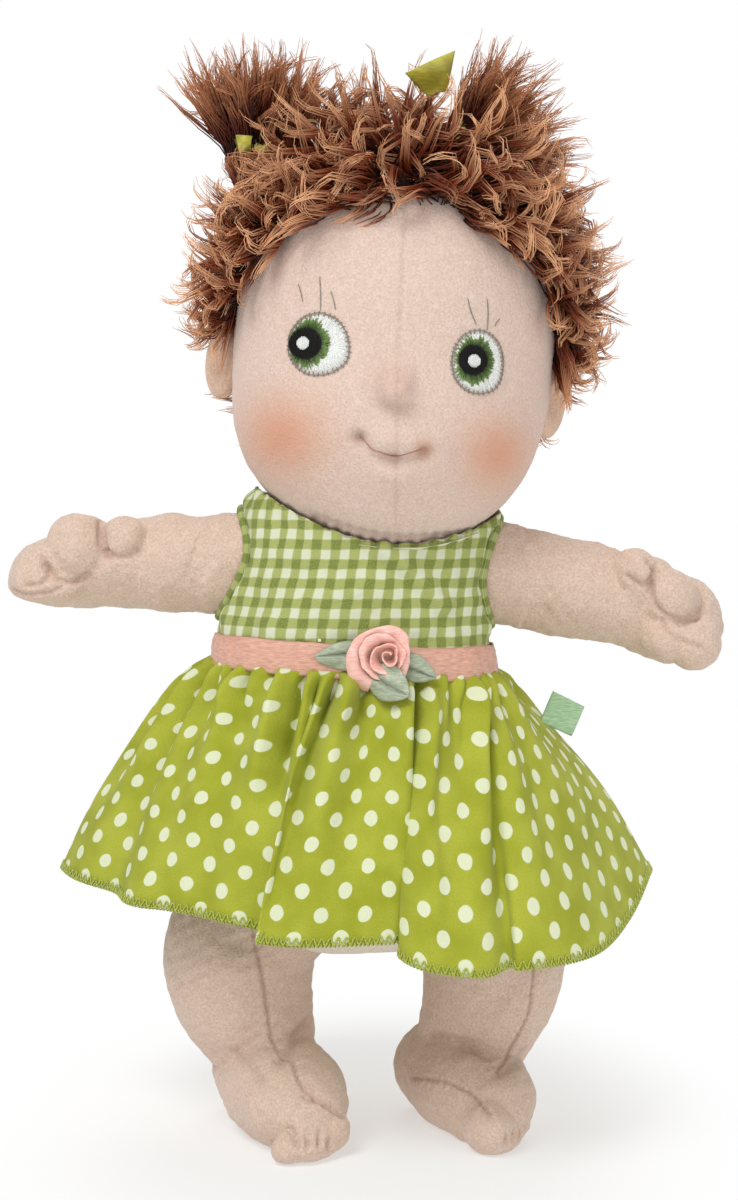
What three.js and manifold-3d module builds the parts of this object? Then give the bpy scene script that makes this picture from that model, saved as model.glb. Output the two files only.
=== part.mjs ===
// Soft cloth doll with sewn-on limbs, a curly wig and a sewn summer dress.
// Millimetres, +Z up, the face looks along -Y, the floor is at Z = 0.
// Left and right are the doll's own: its right side has negative X.

import * as THREE from 'three';
import { mergeVertices } from 'three/addons/utils/BufferGeometryUtils.js';
import Module from 'manifold-3d';

const wasm = await Module();
wasm.setup();

// Fits and cloth thicknesses
const seamGap = 0.3;
const jointGap = 0.4;
const headGap = 1.1;
const weldDistance = 1e-4;
const meshTolerance = 0.12;
const clothThick = 1.0;
const ribbonThick = 0.8;
const threadThick = 0.9;
const embroideryThick = 0.7;
const bindingHalfWidth = 1.3;

// Hip height above the floor; every height above it is given from the piece below
const hipHeight = 70;

// Torso sizes
const torsoDrop = 18;
const torsoLength = 145;
const torsoBottom = hipHeight - torsoDrop;
const torsoTop = torsoBottom + torsoLength;
const torsoHalfWidth = 41;
const torsoHalfDepth = 31;
const torsoLean = 4.4;
const crotchHalfWidth = 7.5;
const lowerTorsoLength = 90;
const waistHeight = torsoBottom + lowerTorsoLength;

// Shoulder and arm sizes
const shoulderReach = 37;
const rightShoulderDrop = 28.5;
const leftShoulderDrop = 31;
const rightShoulderHeight = torsoTop - rightShoulderDrop;
const leftShoulderHeight = torsoTop - leftShoulderDrop;
const armRoot = 15;
const armLength = 71;
const armDepthShare = 0.88;
const thumbLength = 15;
const thumbHalfWidth = 5.6;
const rightArmDroop = 2;
const leftArmDroop = 14;
const rightArmLower = 26;
const rightArmRaise = 32;
const leftArmLower = 26;
const leftArmRaise = 42;

// Hip, leg and foot sizes
const hipReach = 29.5;
const hipY = 1;
const thighRadius = 21.5;
const thighBall = 20.6;
const footLength = 60;
const footHalfWidth = 14.2;
const footHalfHeight = 13;
const soleSink = 0.5;
const bigToeRadius = 6.2;

// Neck and head sizes
const neckDrop = 29;
const neckHeight = torsoTop - neckDrop;
const neckX = 1.1;
const neckY = -2;
const neckBall = 12;
const neckStem = 9.5;
const neckRise = 27;
const neckShoulderShare = 0.3;
const headRoll = 5.5;
const headRise = 62;
const headHalfWidth = 47.2;
const headHalfDepth = 44.5;
const headBelow = 53;
const headAbove = 57;
const nodForward = 5;
const nodBack = 15;
const noseRadius = 5.4;
const noseDepthShare = 0.9;
const noseTallShare = 1.15;
const noseSinkShare = 0.15;
const noseDropShare = 0.24;
const earHalfHeight = 11;
const earHalfWidth = 8.5;
const earHalfDepth = 7;
const earBackShare = 0.9;
const earDropShare = 0.16;

// Eye and mouth sizes
const irisRadius = 7.2;
const pupilRadius = 4.6;
const glintRadius = 1.7;
const eyeSpread = 22;
const eyeRise = -2;
const eyeHalfWidth = 8.4;
const eyeHalfHeight = 8.2;
const eyeCornerTurn = 20;
const eyeCornerPoint = 6;
const eyeCornerShare = 0.22;
const irisAsideShare = 0.18;
const lashTurns = { right: [-12, 12, 34], left: [10, 35, 62] };
const lashLength = 8;
const lashWidth = 1;
const lashTaper = 0.5;
const mouthHalfWidth = 9.5;
const mouthDrop = -26.5;
const mouthSag = 4.2;
const stitchWidth = 1.2;

// Wig sizes
const wigHalfWidth = 66;
const wigHalfDepth = 54;
const wigHalfHeight = 54;
const wigBack = 7;
const wigRise = 17;
const curlBump = 3.2;
const hairlineHeight = 39;
const hairlineFront = 36;
const hairlineTilt = 42;
const napeY = 10;
const napeHeight = -14;
const napeTilt = 27;
const rightBunchSpread = 23;
const leftBunchSpread = 21;
const bunchMiddleShare = 0.76;
const bunchDepthShare = 0.8;
const tieRadius = 8.5;
const tieHalfWidth = 4.8;
const tieLooseShare = 1.5;
const tailLength = 17;
const tailWidth = 9.5;
const tailFlareShare = 0.75;
const tailNotchShare = 0.85;
const tailAheadShare = 1.3;

// Dress sizes
const armholeRadius = 16.4;
const bodiceTuck = 1.5;
const bodiceBottom = waistHeight - bodiceTuck;
const closureWidth = 9;
const closureHeight = 34;
const backMiddleShare = 0.8;
const plackThickShare = 0.7;
const beltHeight = 9.6;
const beltTilt = 2.6;
const skirtTopHalfWidth = 41.5;
const skirtTopHalfDepth = 32;
const skirtDrop = 4;
const skirtLength = 71;
const skirtTopHeight = waistHeight - skirtDrop;
const hemHalfWidth = 88;
const hemHalfDepth = 67;
const hemHeight = skirtTopHeight - skirtLength;
const tagSize = 12.5;
const tagDrop = 20.5;
const tagTuck = 2;
const tagTilt = 4;
const tagTurn = -14;

// Rose sizes
const roseX = 3.6;
const roseLiftHeight = 1.5;
const roseHeight = waistHeight + roseLiftHeight;
const roseRadius = 8.4;
const roseDepth = 6.5;
const roseTurns = 2.6;
const roseEyeShare = 0.14;
const rosePetalShare = 1.25;
const leafLength = 19;
const leafWidth = 8.5;
const leafFullness = 0.8;

// Colours, seen under soft white light
const cloth = (color, roughness) => new THREE.MeshStandardMaterial({ color, roughness, metalness: 0 });
const palette = {
  velour: cloth(0xdcbfaa, 0.95),
  cotton: cloth(0xe0d8c0, 0.92),
  ear: cloth(0xc79f7e, 0.95),
  hair: cloth(0x8a5a3f, 0.8),
  gingham: cloth(0xaab36c, 0.9),
  dotted: cloth(0x9aa639, 0.9),
  overlock: cloth(0xb4bb5a, 0.85),
  belt: cloth(0xe5b9a6, 0.45),
  rose: cloth(0xdda598, 0.45),
  leaf: cloth(0xb0bda0, 0.5),
  bow: cloth(0xa9ab3f, 0.5),
  tag: cloth(0x94b188, 0.6),
  eyeWhite: cloth(0xf1eee6, 0.55),
  iris: cloth(0x6f8a3c, 0.5),
  pupil: cloth(0x17130f, 0.5),
  lash: cloth(0x8b847b, 0.6),
  mouth: cloth(0xc48f7a, 0.8),
};

const turn = THREE.MathUtils.degToRad;
const at = (x, y, z) => new THREE.Vector3(x, y, z);

// Solids for cutting and joining
function solidOf(geometry) {
  const bare = new THREE.BufferGeometry();
  bare.setAttribute('position', geometry.getAttribute('position').clone());
  if (geometry.index) bare.setIndex(geometry.index.clone());
  const welded = mergeVertices(bare, weldDistance);
  return new wasm.Manifold(new wasm.Mesh({
    numProp: 3,
    vertProperties: Float32Array.from(welded.getAttribute('position').array),
    triVerts: Uint32Array.from(welded.index.array),
  }));
}

function geometryOf(solid) {
  const mesh = mainBody(solid.simplify(meshTolerance)).getMesh();
  const geometry = new THREE.BufferGeometry();
  const points = Float32Array.from(mesh.vertProperties);
  geometry.setAttribute('position', new THREE.BufferAttribute(points, mesh.numProp));
  geometry.setIndex([...mesh.triVerts]);
  geometry.computeVertexNormals();
  return geometry;
}

// Keep the main body of a cut piece and drop the slivers cut off it
function mainBody(solid) {
  const bodies = solid.decompose();
  return bodies.reduce((kept, body) => (body.volume() > kept.volume() ? body : kept));
}

function moved(solid, matrix) {
  return solid.transform(matrix.elements);
}

function placed(solid, x, y, z, turnX = 0, turnY = 0, turnZ = 0) {
  const matrix = new THREE.Matrix4().makeRotationFromEuler(
    new THREE.Euler(turn(turnX), turn(turnY), turn(turnZ)),
  );
  matrix.setPosition(x, y, z);
  return moved(solid, matrix);
}

function block(width, depth, height) {
  return solidOf(new THREE.BoxGeometry(width, depth, height));
}

function ball(radius, segments = 20) {
  return solidOf(new THREE.SphereGeometry(radius, segments, segments * 0.7));
}

function egg(halfWidth, halfDepth, halfHeight, segments = 14) {
  const geometry = new THREE.SphereGeometry(1, segments, segments * 0.7);
  geometry.rotateX(turn(90));
  geometry.scale(halfWidth, halfDepth, halfHeight);
  return solidOf(geometry);
}

function rodAlongX(radius, length, segments = 24) {
  const geometry = new THREE.CylinderGeometry(radius, radius, length, segments);
  geometry.rotateZ(turn(90));
  return solidOf(geometry);
}

// A flat outline in the XZ plane, thickened along Y from its front
function plate(outline, thickness) {
  const shape = new THREE.Shape(outline);
  const geometry = new THREE.ExtrudeGeometry(shape, { depth: thickness, bevelEnabled: false });
  geometry.rotateX(turn(90));
  geometry.translate(0, thickness / 2, 0);
  return solidOf(geometry);
}

// How far a rounded end has opened at a share of its length
function opening(share, squareness) {
  const left = 1 - Math.min(Math.max(share, 0), 1);
  return Math.pow(1 - Math.pow(left, squareness), 1 / squareness);
}

// A stuffed form: oval rings strung along a spine and rounded off at both ends.
// Each station holds its centre, half width and half depth.
function stuffedForm(options) {
  const { stations, front, sides, rings, startCap, endCap } = options;
  const squareness = options.squareness ?? 2;
  const plan = options.plan ?? 2;
  const grow = options.grow ?? 0;
  const twist = options.twist ?? 0;
  const curveThrough = (points) => new THREE.CatmullRomCurve3(points, false, 'catmullrom', 0.5);
  const spine = curveThrough(stations.map((s) => s.centre));
  const girth = curveThrough(stations.map((s) => at(s.halfWidth, s.halfDepth, 0)));
  const capRings = 4;
  const shares = [];
  for (let i = 1; i <= capRings; i += 1) {
    shares.push(startCap * (1 - Math.cos(turn((90 * i) / capRings))));
  }
  for (let i = 1; i < rings; i += 1) {
    shares.push(startCap + ((1 - startCap - endCap) * i) / rings);
  }
  for (let i = capRings; i >= 1; i -= 1) {
    shares.push(1 - endCap * (1 - Math.cos(turn((90 * i) / capRings))));
  }
  const points = [];
  const centreAt = (share) => {
    const along = spine.getTangent(share);
    const back = Math.max(0, 1 - share / startCap);
    const ahead = Math.max(0, 1 - (1 - share) / endCap);
    return spine.getPoint(share).addScaledVector(along, grow * (ahead - back));
  };
  const addPoint = (p) => points.push(p.x, p.y, p.z);
  addPoint(centreAt(0));
  for (const share of shares) {
    const along = spine.getTangent(share);
    const deep = front.clone().addScaledVector(along, -front.dot(along)).normalize();
    deep.applyAxisAngle(along, turn(twist) * share);
    const wide = new THREE.Vector3().crossVectors(deep, along).normalize();
    const open = opening(share / startCap, squareness) * opening((1 - share) / endCap, squareness);
    const size = girth.getPoint(share);
    const centre = centreAt(share);
    for (let i = 0; i < sides; i += 1) {
      const angle = (2 * Math.PI * i) / sides;
      const across = Math.sign(Math.cos(angle)) * Math.pow(Math.abs(Math.cos(angle)), 2 / plan);
      const through = Math.sign(Math.sin(angle)) * Math.pow(Math.abs(Math.sin(angle)), 2 / plan);
      const point = centre.clone();
      point.addScaledVector(wide, across * (size.x + grow) * open);
      point.addScaledVector(deep, through * (size.y + grow) * open);
      addPoint(point);
    }
  }
  addPoint(centreAt(1));
  const last = shares.length * sides + 1;
  const faces = [];
  for (let i = 0; i < sides; i += 1) {
    const next = (i + 1) % sides;
    faces.push(0, 1 + i, 1 + next);
    for (let ring = 0; ring < shares.length - 1; ring += 1) {
      const here = 1 + ring * sides;
      const there = here + sides;
      faces.push(here + i, there + i, there + next);
      faces.push(here + i, there + next, here + next);
    }
    faces.push(last, last - sides + next, last - sides + i);
  }
  return solidOfFaces(points, faces);
}

// A closed solid from points and faces, turned right side out
function solidOfFaces(points, faces) {
  const volume = faces.reduce((sum, _, i) => {
    if (i % 3) return sum;
    const [a, b, c] = [0, 1, 2].map((k) => at(...points.slice(faces[i + k] * 3, faces[i + k] * 3 + 3)));
    return sum + a.dot(b.cross(c));
  }, 0);
  const turned = volume < 0 ? faces.slice().reverse() : faces;
  const geometry = new THREE.BufferGeometry();
  geometry.setAttribute('position', new THREE.BufferAttribute(Float32Array.from(points), 3));
  geometry.setIndex(turned);
  return solidOf(geometry);
}

// Stations from shares of one length, one width and one depth
function stationsOf(centres, widthShares, depthShares, width, depth) {
  return centres.map((centre, i) => ({
    centre,
    halfWidth: widthShares[i] * width,
    halfDepth: depthShares[i] * depth,
  }));
}

// Torso: a fabric body that leans a little at the waist
const torsoHeightShares = [0, 0.14, 0.33, 0.52, 0.63, 0.78, 0.88, 1];
const torsoLeanShares = [0, -0.2, -0.7, -1, -1, -0.35, 0.07, 0.23];
const torsoWidthShares = [0.88, 0.98, 1, 0.99, 0.97, 0.89, 0.9, 0.88];
const torsoDepthShares = [0.71, 0.87, 1, 0.98, 0.97, 0.87, 0.8, 0.65];

function torsoForm(grow) {
  const centres = torsoHeightShares.map((share, i) => at(
    torsoLeanShares[i] * torsoLean, 0, torsoBottom + share * (torsoTop - torsoBottom),
  ));
  return stuffedForm({
    stations: stationsOf(centres, torsoWidthShares, torsoDepthShares, torsoHalfWidth, torsoHalfDepth),
    front: at(0, -1, 0),
    sides: 20,
    rings: 7,
    startCap: 0.12,
    endCap: 0.16,
    squareness: 3,
    plan: 2.2,
    grow,
  });
}

// Head: wide soft cheeks, a round crown and a flat plan
const headFullness = 2.6;

function headForm(grow, halfDepth = headHalfDepth, segments = 28) {
  const geometry = new THREE.SphereGeometry(1, segments, Math.round(segments * 0.7));
  geometry.rotateX(turn(90));
  const points = geometry.getAttribute('position');
  for (let i = 0; i < points.count; i += 1) {
    const round = Math.hypot(points.getX(i), points.getY(i));
    const open = round > 0 ? Math.pow(round, 2 / headFullness) / round : 0;
    const level = Math.sign(points.getZ(i)) * Math.pow(Math.abs(points.getZ(i)), 2 / headFullness);
    points.setXYZ(
      i,
      points.getX(i) * open * (headHalfWidth + grow),
      points.getY(i) * open * (halfDepth + grow),
      level * ((level > 0 ? headAbove : headBelow) + grow),
    );
  }
  return solidOf(geometry);
}

// Joint frames
const neckFrame = new THREE.Matrix4().makeRotationY(turn(headRoll));
neckFrame.setPosition(neckX, neckY, neckHeight);
const headFrame = neckFrame.clone().multiply(new THREE.Matrix4().makeTranslation(0, 0, headRise));

// The room that the head sweeps as it turns, nodded by some degrees
function headSweep(nod, grow) {
  const stem = new THREE.CylinderGeometry(neckStem + grow, neckStem + grow, neckRise, 14);
  stem.rotateX(turn(90));
  const sweep = headForm(grow, headHalfWidth, 18).translate(0, 0, headRise)
    .add(solidOf(stem).translate(0, 0, neckRise / 2));
  const tilt = new THREE.Matrix4().makeRotationX(turn(nod));
  return moved(sweep, neckFrame.clone().multiply(tilt));
}

const headRoom = headSweep(0, headGap)
  .add(headSweep(nodForward, headGap))
  .add(headSweep(-nodBack / 2, headGap))
  .add(headSweep(-nodBack, headGap));

// Shoulders, one for each side: side is +1 for the doll's left
const shoulders = [
  {
    side: -1, name: 'right', height: rightShoulderHeight, droop: rightArmDroop,
    lower: rightArmLower, raise: rightArmRaise, twist: 75,
  },
  {
    side: 1, name: 'left', height: leftShoulderHeight, droop: leftArmDroop,
    lower: leftArmLower, raise: leftArmRaise, twist: 0,
  },
];

const armCentreShares = [-armRoot / armLength, 0, 0.2, 0.4, 0.58, 0.7, 0.85, 1];
const armBendShares = [0, 0, 0, 0.01, 0.01, 0, -0.02, -0.06];
const armWidthShares = [1, 1, 0.98, 0.95, 0.86, 0.88, 0.86, 0.66];
const armThickShares = [1, 1, 0.98, 0.95, 0.82, 0.68, 0.62, 0.5];
const thumbPlaceShare = 0.55;
const thumbOutShares = [0, 0.35, 0.75];
const thumbFrontShares = [1, 1.1, 1.1];
const thumbRiseShares = [0, 0.5, 1];
const thumbGirthShares = [1, 1, 0.9];

function armForm(shoulder, grow) {
  const centres = armCentreShares.map((share, i) => at(
    shoulder.side * share * armLength, 0, armBendShares[i] * armLength,
  ));
  const arm = stuffedForm({
    stations: stationsOf(centres, armWidthShares, armThickShares, armRoot, armRoot * armDepthShare),
    front: at(0, -1, 0),
    sides: 16,
    rings: 7,
    startCap: 1 / 7,
    endCap: 1 / 7,
    twist: shoulder.side * shoulder.twist,
    grow,
  });
  const thumbCentres = thumbOutShares.map((share, i) => at(
    shoulder.side * (armLength * thumbPlaceShare + thumbLength * share),
    -thumbHalfWidth * thumbFrontShares[i],
    thumbLength * thumbRiseShares[i],
  ));
  const thumb = stuffedForm({
    stations: stationsOf(
      thumbCentres, thumbGirthShares, thumbGirthShares, thumbHalfWidth, thumbHalfWidth,
    ),
    front: at(0, -1, 0),
    sides: 10,
    rings: 2,
    startCap: 0.3,
    endCap: 0.3,
    grow,
  });
  return arm.add(thumb);
}

// The room that an arm needs beside the torso as it is raised and lowered
function armRoom(shoulder) {
  const reach = armLength / 2;
  const room = [];
  for (const drop of [-shoulder.raise, -shoulder.raise / 2, 0, shoulder.lower / 2, shoulder.lower]) {
    const rod = rodAlongX(armRoot + 1.5 * jointGap, reach, 14).translate((shoulder.side * reach) / 2, 0, 0);
    room.push(placed(rod, 0, 0, 0, 0, shoulder.side * (shoulder.droop + drop), 0));
  }
  return room.reduce((all, piece) => all.add(piece), ball(armRoot + 2 * jointGap, 14))
    .translate(shoulder.side * shoulderReach, 0, shoulder.height);
}

// Room for the thighs under the torso, with a wedge of cloth left between them
const thighSlack = 1.7 * jointGap;

function thighRoom(side) {
  const width = torsoHalfWidth * 2;
  const above = thighBall + thighSlack;
  const middle = side * (crotchHalfWidth + width / 2);
  const socket = rodAlongX(above, width, 20);
  const forward = block(width, torsoHalfDepth * 2, above * 3).translate(0, -torsoHalfDepth, -above / 2);
  const behind = block(width, torsoHalfDepth * 4, above * 2).translate(0, 0, -above);
  return socket.add(forward).add(behind).translate(middle, hipY, hipHeight);
}

const neckPocket = moved(ball(neckBall + 2 * jointGap, 14), neckFrame);

function makeTorso() {
  let torso = torsoForm(0).subtract(headRoom).subtract(neckPocket);
  for (const shoulder of shoulders) {
    torso = torso.subtract(armRoom(shoulder)).subtract(thighRoom(shoulder.side));
  }
  return mainBody(torso);
}

// Neck: a stuffed ball at the shoulders with a stem into the head
function makeNeck() {
  const foot = Math.asin(neckStem / neckBall);
  const profile = [new THREE.Vector2(0, -neckBall)];
  const steps = 6;
  for (let i = 1; i <= steps; i += 1) {
    const angle = -Math.PI / 2 + ((Math.PI - foot) * i) / steps;
    profile.push(new THREE.Vector2(Math.cos(angle) * neckBall, Math.sin(angle) * neckBall));
  }
  profile.push(new THREE.Vector2(neckStem, neckRise - neckStem * neckShoulderShare));
  profile.push(new THREE.Vector2(neckStem * (1 - neckShoulderShare), neckRise));
  profile.push(new THREE.Vector2(0, neckRise));
  const geometry = new THREE.LatheGeometry(profile, 16);
  geometry.rotateX(turn(90));
  return solidOf(geometry);
}

function makeHead() {
  const nose = egg(noseRadius, noseRadius * noseDepthShare, noseRadius * noseTallShare)
    .translate(0, -headHalfDepth + noseRadius * noseSinkShare, -headBelow * noseDropShare);
  const pocketTop = neckRise - headRise + jointGap;
  const pocketDepth = headBelow * 2;
  const pocketRadius = neckStem + jointGap * 2;
  const pocket = new THREE.CylinderGeometry(pocketRadius, pocketRadius, pocketDepth, 16);
  pocket.rotateX(turn(90));
  pocket.translate(0, 0, pocketTop - pocketDepth / 2);
  const ballRoom = ball(neckBall + 2 * jointGap, 16).translate(0, 0, -headRise);
  return headForm(0).add(nose).subtract(solidOf(pocket)).subtract(ballRoom);
}

// A thin patch of thread that follows the face
const threadBed = headForm(seamGap);
const threadTop = headForm(seamGap + embroideryThick);

function facePatch(outline) {
  const reach = headHalfDepth * 2;
  const column = plate(outline, reach).translate(0, -reach / 2, 0);
  return column.intersect(threadTop).subtract(threadBed);
}

function circleOutline(x, z, radius, segments = 20) {
  return Array.from({ length: segments }, (_, i) => {
    const angle = (2 * Math.PI * i) / segments;
    return new THREE.Vector2(x + radius * Math.cos(angle), z + radius * Math.sin(angle));
  });
}

// The almond of an eye with its pointed outer corner
function eyeOutline(x, z, grow) {
  const steps = 24;
  return Array.from({ length: steps }, (_, i) => {
    const angle = (2 * Math.PI * i) / steps;
    const near = Math.max(0, Math.cos(angle + turn(eyeCornerTurn)));
    const point = Math.pow(near, eyeCornerPoint) * eyeCornerShare;
    return new THREE.Vector2(
      x + (eyeHalfWidth * (1 + point) + grow) * Math.cos(angle),
      z + (eyeHalfHeight + grow) * Math.sin(angle),
    );
  });
}

function makeEye(side) {
  const x = side * eyeSpread;
  const z = eyeRise;
  const irisX = x - eyeHalfWidth * irisAsideShare;
  const whole = facePatch(eyeOutline(x, z, 0));
  const iris = facePatch(circleOutline(irisX, z, irisRadius))
    .intersect(plate(eyeOutline(x, z, 0), headHalfDepth * 2).translate(0, -headHalfDepth, 0));
  const column = (radius) => {
    const reach = headHalfDepth * 2;
    return plate(circleOutline(irisX, z, radius), reach).translate(0, -reach / 2, 0);
  };
  const rim = facePatch(eyeOutline(x, z, seamGap + stitchWidth));
  const lidColumn = plate(eyeOutline(x, z, seamGap), headHalfDepth * 2).translate(0, -headHalfDepth, 0);
  let lashes = rim.subtract(lidColumn);
  for (const lashTurn of side > 0 ? lashTurns.left : lashTurns.right) {
    const sway = Math.sin(turn(lashTurn));
    const lift = Math.cos(turn(lashTurn));
    const start = new THREE.Vector2(x + sway * eyeHalfWidth, z + lift * eyeHalfHeight + seamGap);
    const tip = start.clone().add(new THREE.Vector2(sway, lift).multiplyScalar(lashLength));
    const half = new THREE.Vector2(lift, -sway).multiplyScalar(lashWidth / 2);
    lashes = lashes.add(facePatch([
      start.clone().sub(half), start.clone().add(half),
      tip.clone().addScaledVector(half, lashTaper), tip.clone().addScaledVector(half, -lashTaper),
    ]).subtract(lidColumn));
  }
  return {
    white: mainBody(whole.subtract(column(irisRadius + seamGap / 2))),
    iris: iris.subtract(column(pupilRadius + seamGap / 2)),
    pupil: facePatch(circleOutline(irisX, z, pupilRadius)).subtract(column(glintRadius + seamGap / 2)),
    glint: facePatch(circleOutline(irisX, z, glintRadius, 12)),
    lashes: mainBody(lashes),
  };
}

function makeMouth() {
  const steps = 10;
  const line = (offset) => Array.from({ length: steps + 1 }, (_, i) => {
    const share = (2 * i) / steps - 1;
    const z = mouthDrop - mouthSag * (1 - share * share) + offset;
    return new THREE.Vector2(share * mouthHalfWidth, z);
  });
  return facePatch([...line(-stitchWidth / 2), ...line(stitchWidth / 2).reverse()]);
}

function earForm(side, grow) {
  return egg(earHalfDepth + grow, earHalfWidth + grow, earHalfHeight + grow, 16)
    .translate(side * headHalfWidth, earHalfWidth * earBackShare, -headBelow * earDropShare);
}

function makeEar(side) {
  return mainBody(earForm(side, 0).subtract(threadBed));
}

// Wig: a curly cap with a hairline and a nape
const curlAcross = at(9, 0, 4);
const curlAlong = at(0, 8, -7);

function wigForm(grow) {
  const geometry = new THREE.SphereGeometry(1, 26, 16);
  geometry.rotateX(turn(90));
  const points = geometry.getAttribute('position');
  for (let i = 0; i < points.count; i += 1) {
    const way = at(points.getX(i), points.getY(i), points.getZ(i));
    const curls = Math.sin(way.dot(curlAcross)) * Math.cos(way.dot(curlAlong));
    const curl = curlBump * curls * Math.hypot(way.x, way.y);
    points.setXYZ(
      i,
      way.x * (wigHalfWidth + curl + grow),
      way.y * (wigHalfDepth + curl + grow) + wigBack,
      way.z * (wigHalfHeight + curl + grow) + wigRise,
    );
  }
  return solidOf(geometry);
}

function makeWig() {
  const reach = wigHalfWidth * 3;
  const face = placed(
    block(reach, reach, reach * 2).translate(0, -reach / 2, 0),
    0, -hairlineFront, hairlineHeight, hairlineTilt, 0, 0,
  );
  const nape = placed(
    block(reach, reach * 2, reach).translate(0, 0, -reach / 2),
    0, napeY, napeHeight, -napeTilt, 0, 0,
  );
  let wig = wigForm(0).subtract(headForm(seamGap)).subtract(face).subtract(nape);
  for (const side of [-1, 1]) wig = wig.subtract(earForm(side, seamGap));
  return mainBody(wig);
}

// Hair bunches, tied low and fanning out to a soft top
// Places are shares of the wig's half sizes from the wig's middle
const onWig = (across, back, up) => at(
  across * wigHalfWidth, wigBack + back * wigHalfDepth, wigRise + up * wigHalfHeight,
);
const bunchShapes = [
  {
    name: 'right', spread: rightBunchSpread, tailTurn: -35,
    tie: onWig(-0.69, -0.07, 0.75), middle: onWig(-0.74, -0.09, 1.07), tip: onWig(-0.76, -0.11, 1.46),
  },
  {
    name: 'left', spread: leftBunchSpread, tailTurn: 15,
    tie: onWig(0.21, -0.07, 0.85), middle: onWig(0.45, -0.09, 1), tip: onWig(0.8, -0.11, 1.1),
  },
];

function bunchForm(bunch, grow) {
  const root = bunch.tie.clone().multiplyScalar(2).sub(bunch.middle);
  const flat = bunch.spread * bunchDepthShare;
  return stuffedForm({
    stations: [
      { centre: root, halfWidth: tieRadius, halfDepth: tieRadius },
      { centre: bunch.tie, halfWidth: tieRadius, halfDepth: tieRadius },
      {
        centre: bunch.middle,
        halfWidth: bunch.spread * bunchMiddleShare,
        halfDepth: flat * bunchMiddleShare,
      },
      { centre: bunch.tip, halfWidth: bunch.spread, halfDepth: flat },
    ],
    front: at(0, -1, 0),
    sides: 16,
    rings: 6,
    startCap: 0.1,
    endCap: 0.3,
    squareness: 2.4,
    grow,
  });
}

// The frame of a piece that sits round a line from one point to another
function alongLine(from, to) {
  const way = to.clone().sub(from).normalize();
  const spin = new THREE.Quaternion().setFromUnitVectors(at(0, 0, 1), way);
  return new THREE.Matrix4().compose(from, spin, at(1, 1, 1));
}

// A satin tie hugs the neck of a bunch and ends in one pointed tail
function makeTie(bunch) {
  const frame = alongLine(bunch.tie, bunch.middle);
  const drumRadius = tieRadius * tieLooseShare;
  const drum = new THREE.CylinderGeometry(drumRadius, drumRadius, tieHalfWidth * 2, 20);
  drum.rotateX(turn(90));
  const tail = plate([
    new THREE.Vector2(-tailWidth / 2, 0),
    new THREE.Vector2(tailWidth / 2, 0),
    new THREE.Vector2(tailWidth * tailFlareShare, tailLength),
    new THREE.Vector2(0, tailLength * tailNotchShare),
  ], ribbonThick * 1.5);
  const ahead = bunch.tie.y - tieRadius * tailAheadShare;
  const raised = placed(tail, bunch.tie.x, ahead, bunch.tie.z, 0, bunch.tailTurn, 0);
  const tie = moved(solidOf(drum), frame).add(raised);
  return mainBody(tie.subtract(bunchForm(bunch, seamGap)).subtract(wigForm(seamGap)));
}

// Legs: a thigh ball, a chubby calf, a pinched ankle and a flat-soled foot
const legs = [
  {
    name: 'right', side: -1, heading: 19, lengthShare: 1, inShare: 0,
    innerSetbackShare: 0.14, outerSetbackShare: 0.03,
    footWidthShares: [0.85, 0.94, 1.05, 1.2, 1.02, 0.62],
    outShares: [0, 0, 0.09, 0.135, 0.114, 0.05, 0.007],
    widthShares: [thighBall / thighRadius, 0.97, 1, 1.01, 0.95, 0.77, 0.66],
  },
  {
    name: 'left', side: 1, heading: 24, lengthShare: 0.76, inShare: 0.24,
    innerSetbackShare: 0.03, outerSetbackShare: 0.24,
    footWidthShares: [0.9, 1.02, 1.12, 1.12, 0.94, 0.66],
    outShares: [0, 0, 0.08, 0.115, 0.09, 0.042, 0.008],
    widthShares: [thighBall / thighRadius, 0.95, 0.96, 0.94, 0.87, 0.74, 0.66],
  },
];
const legDropShares = [thighBall / hipHeight, 0, -0.15, -0.29, -0.45, -0.62, -0.78];
const legDepthShares = [1, 1, 1, 1, 0.92, 0.75, 0.69];
const footSpanShares = [0.37, 0.2, 0, -0.25, -0.5, -0.74];
const footHeightShares = [0.95, 1.05, 1.12, 1.04, 0.85, 0.62];
const toeCount = 5;
const toeTaper = 0.42;
const bigToeInShare = 0.44;
const toeSpanShare = 0.98;
const toeAheadShare = 0.74;
const toeWideShare = 0.95;
const toeLongShare = 1.25;
const toeLiftShare = 1.15;

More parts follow.
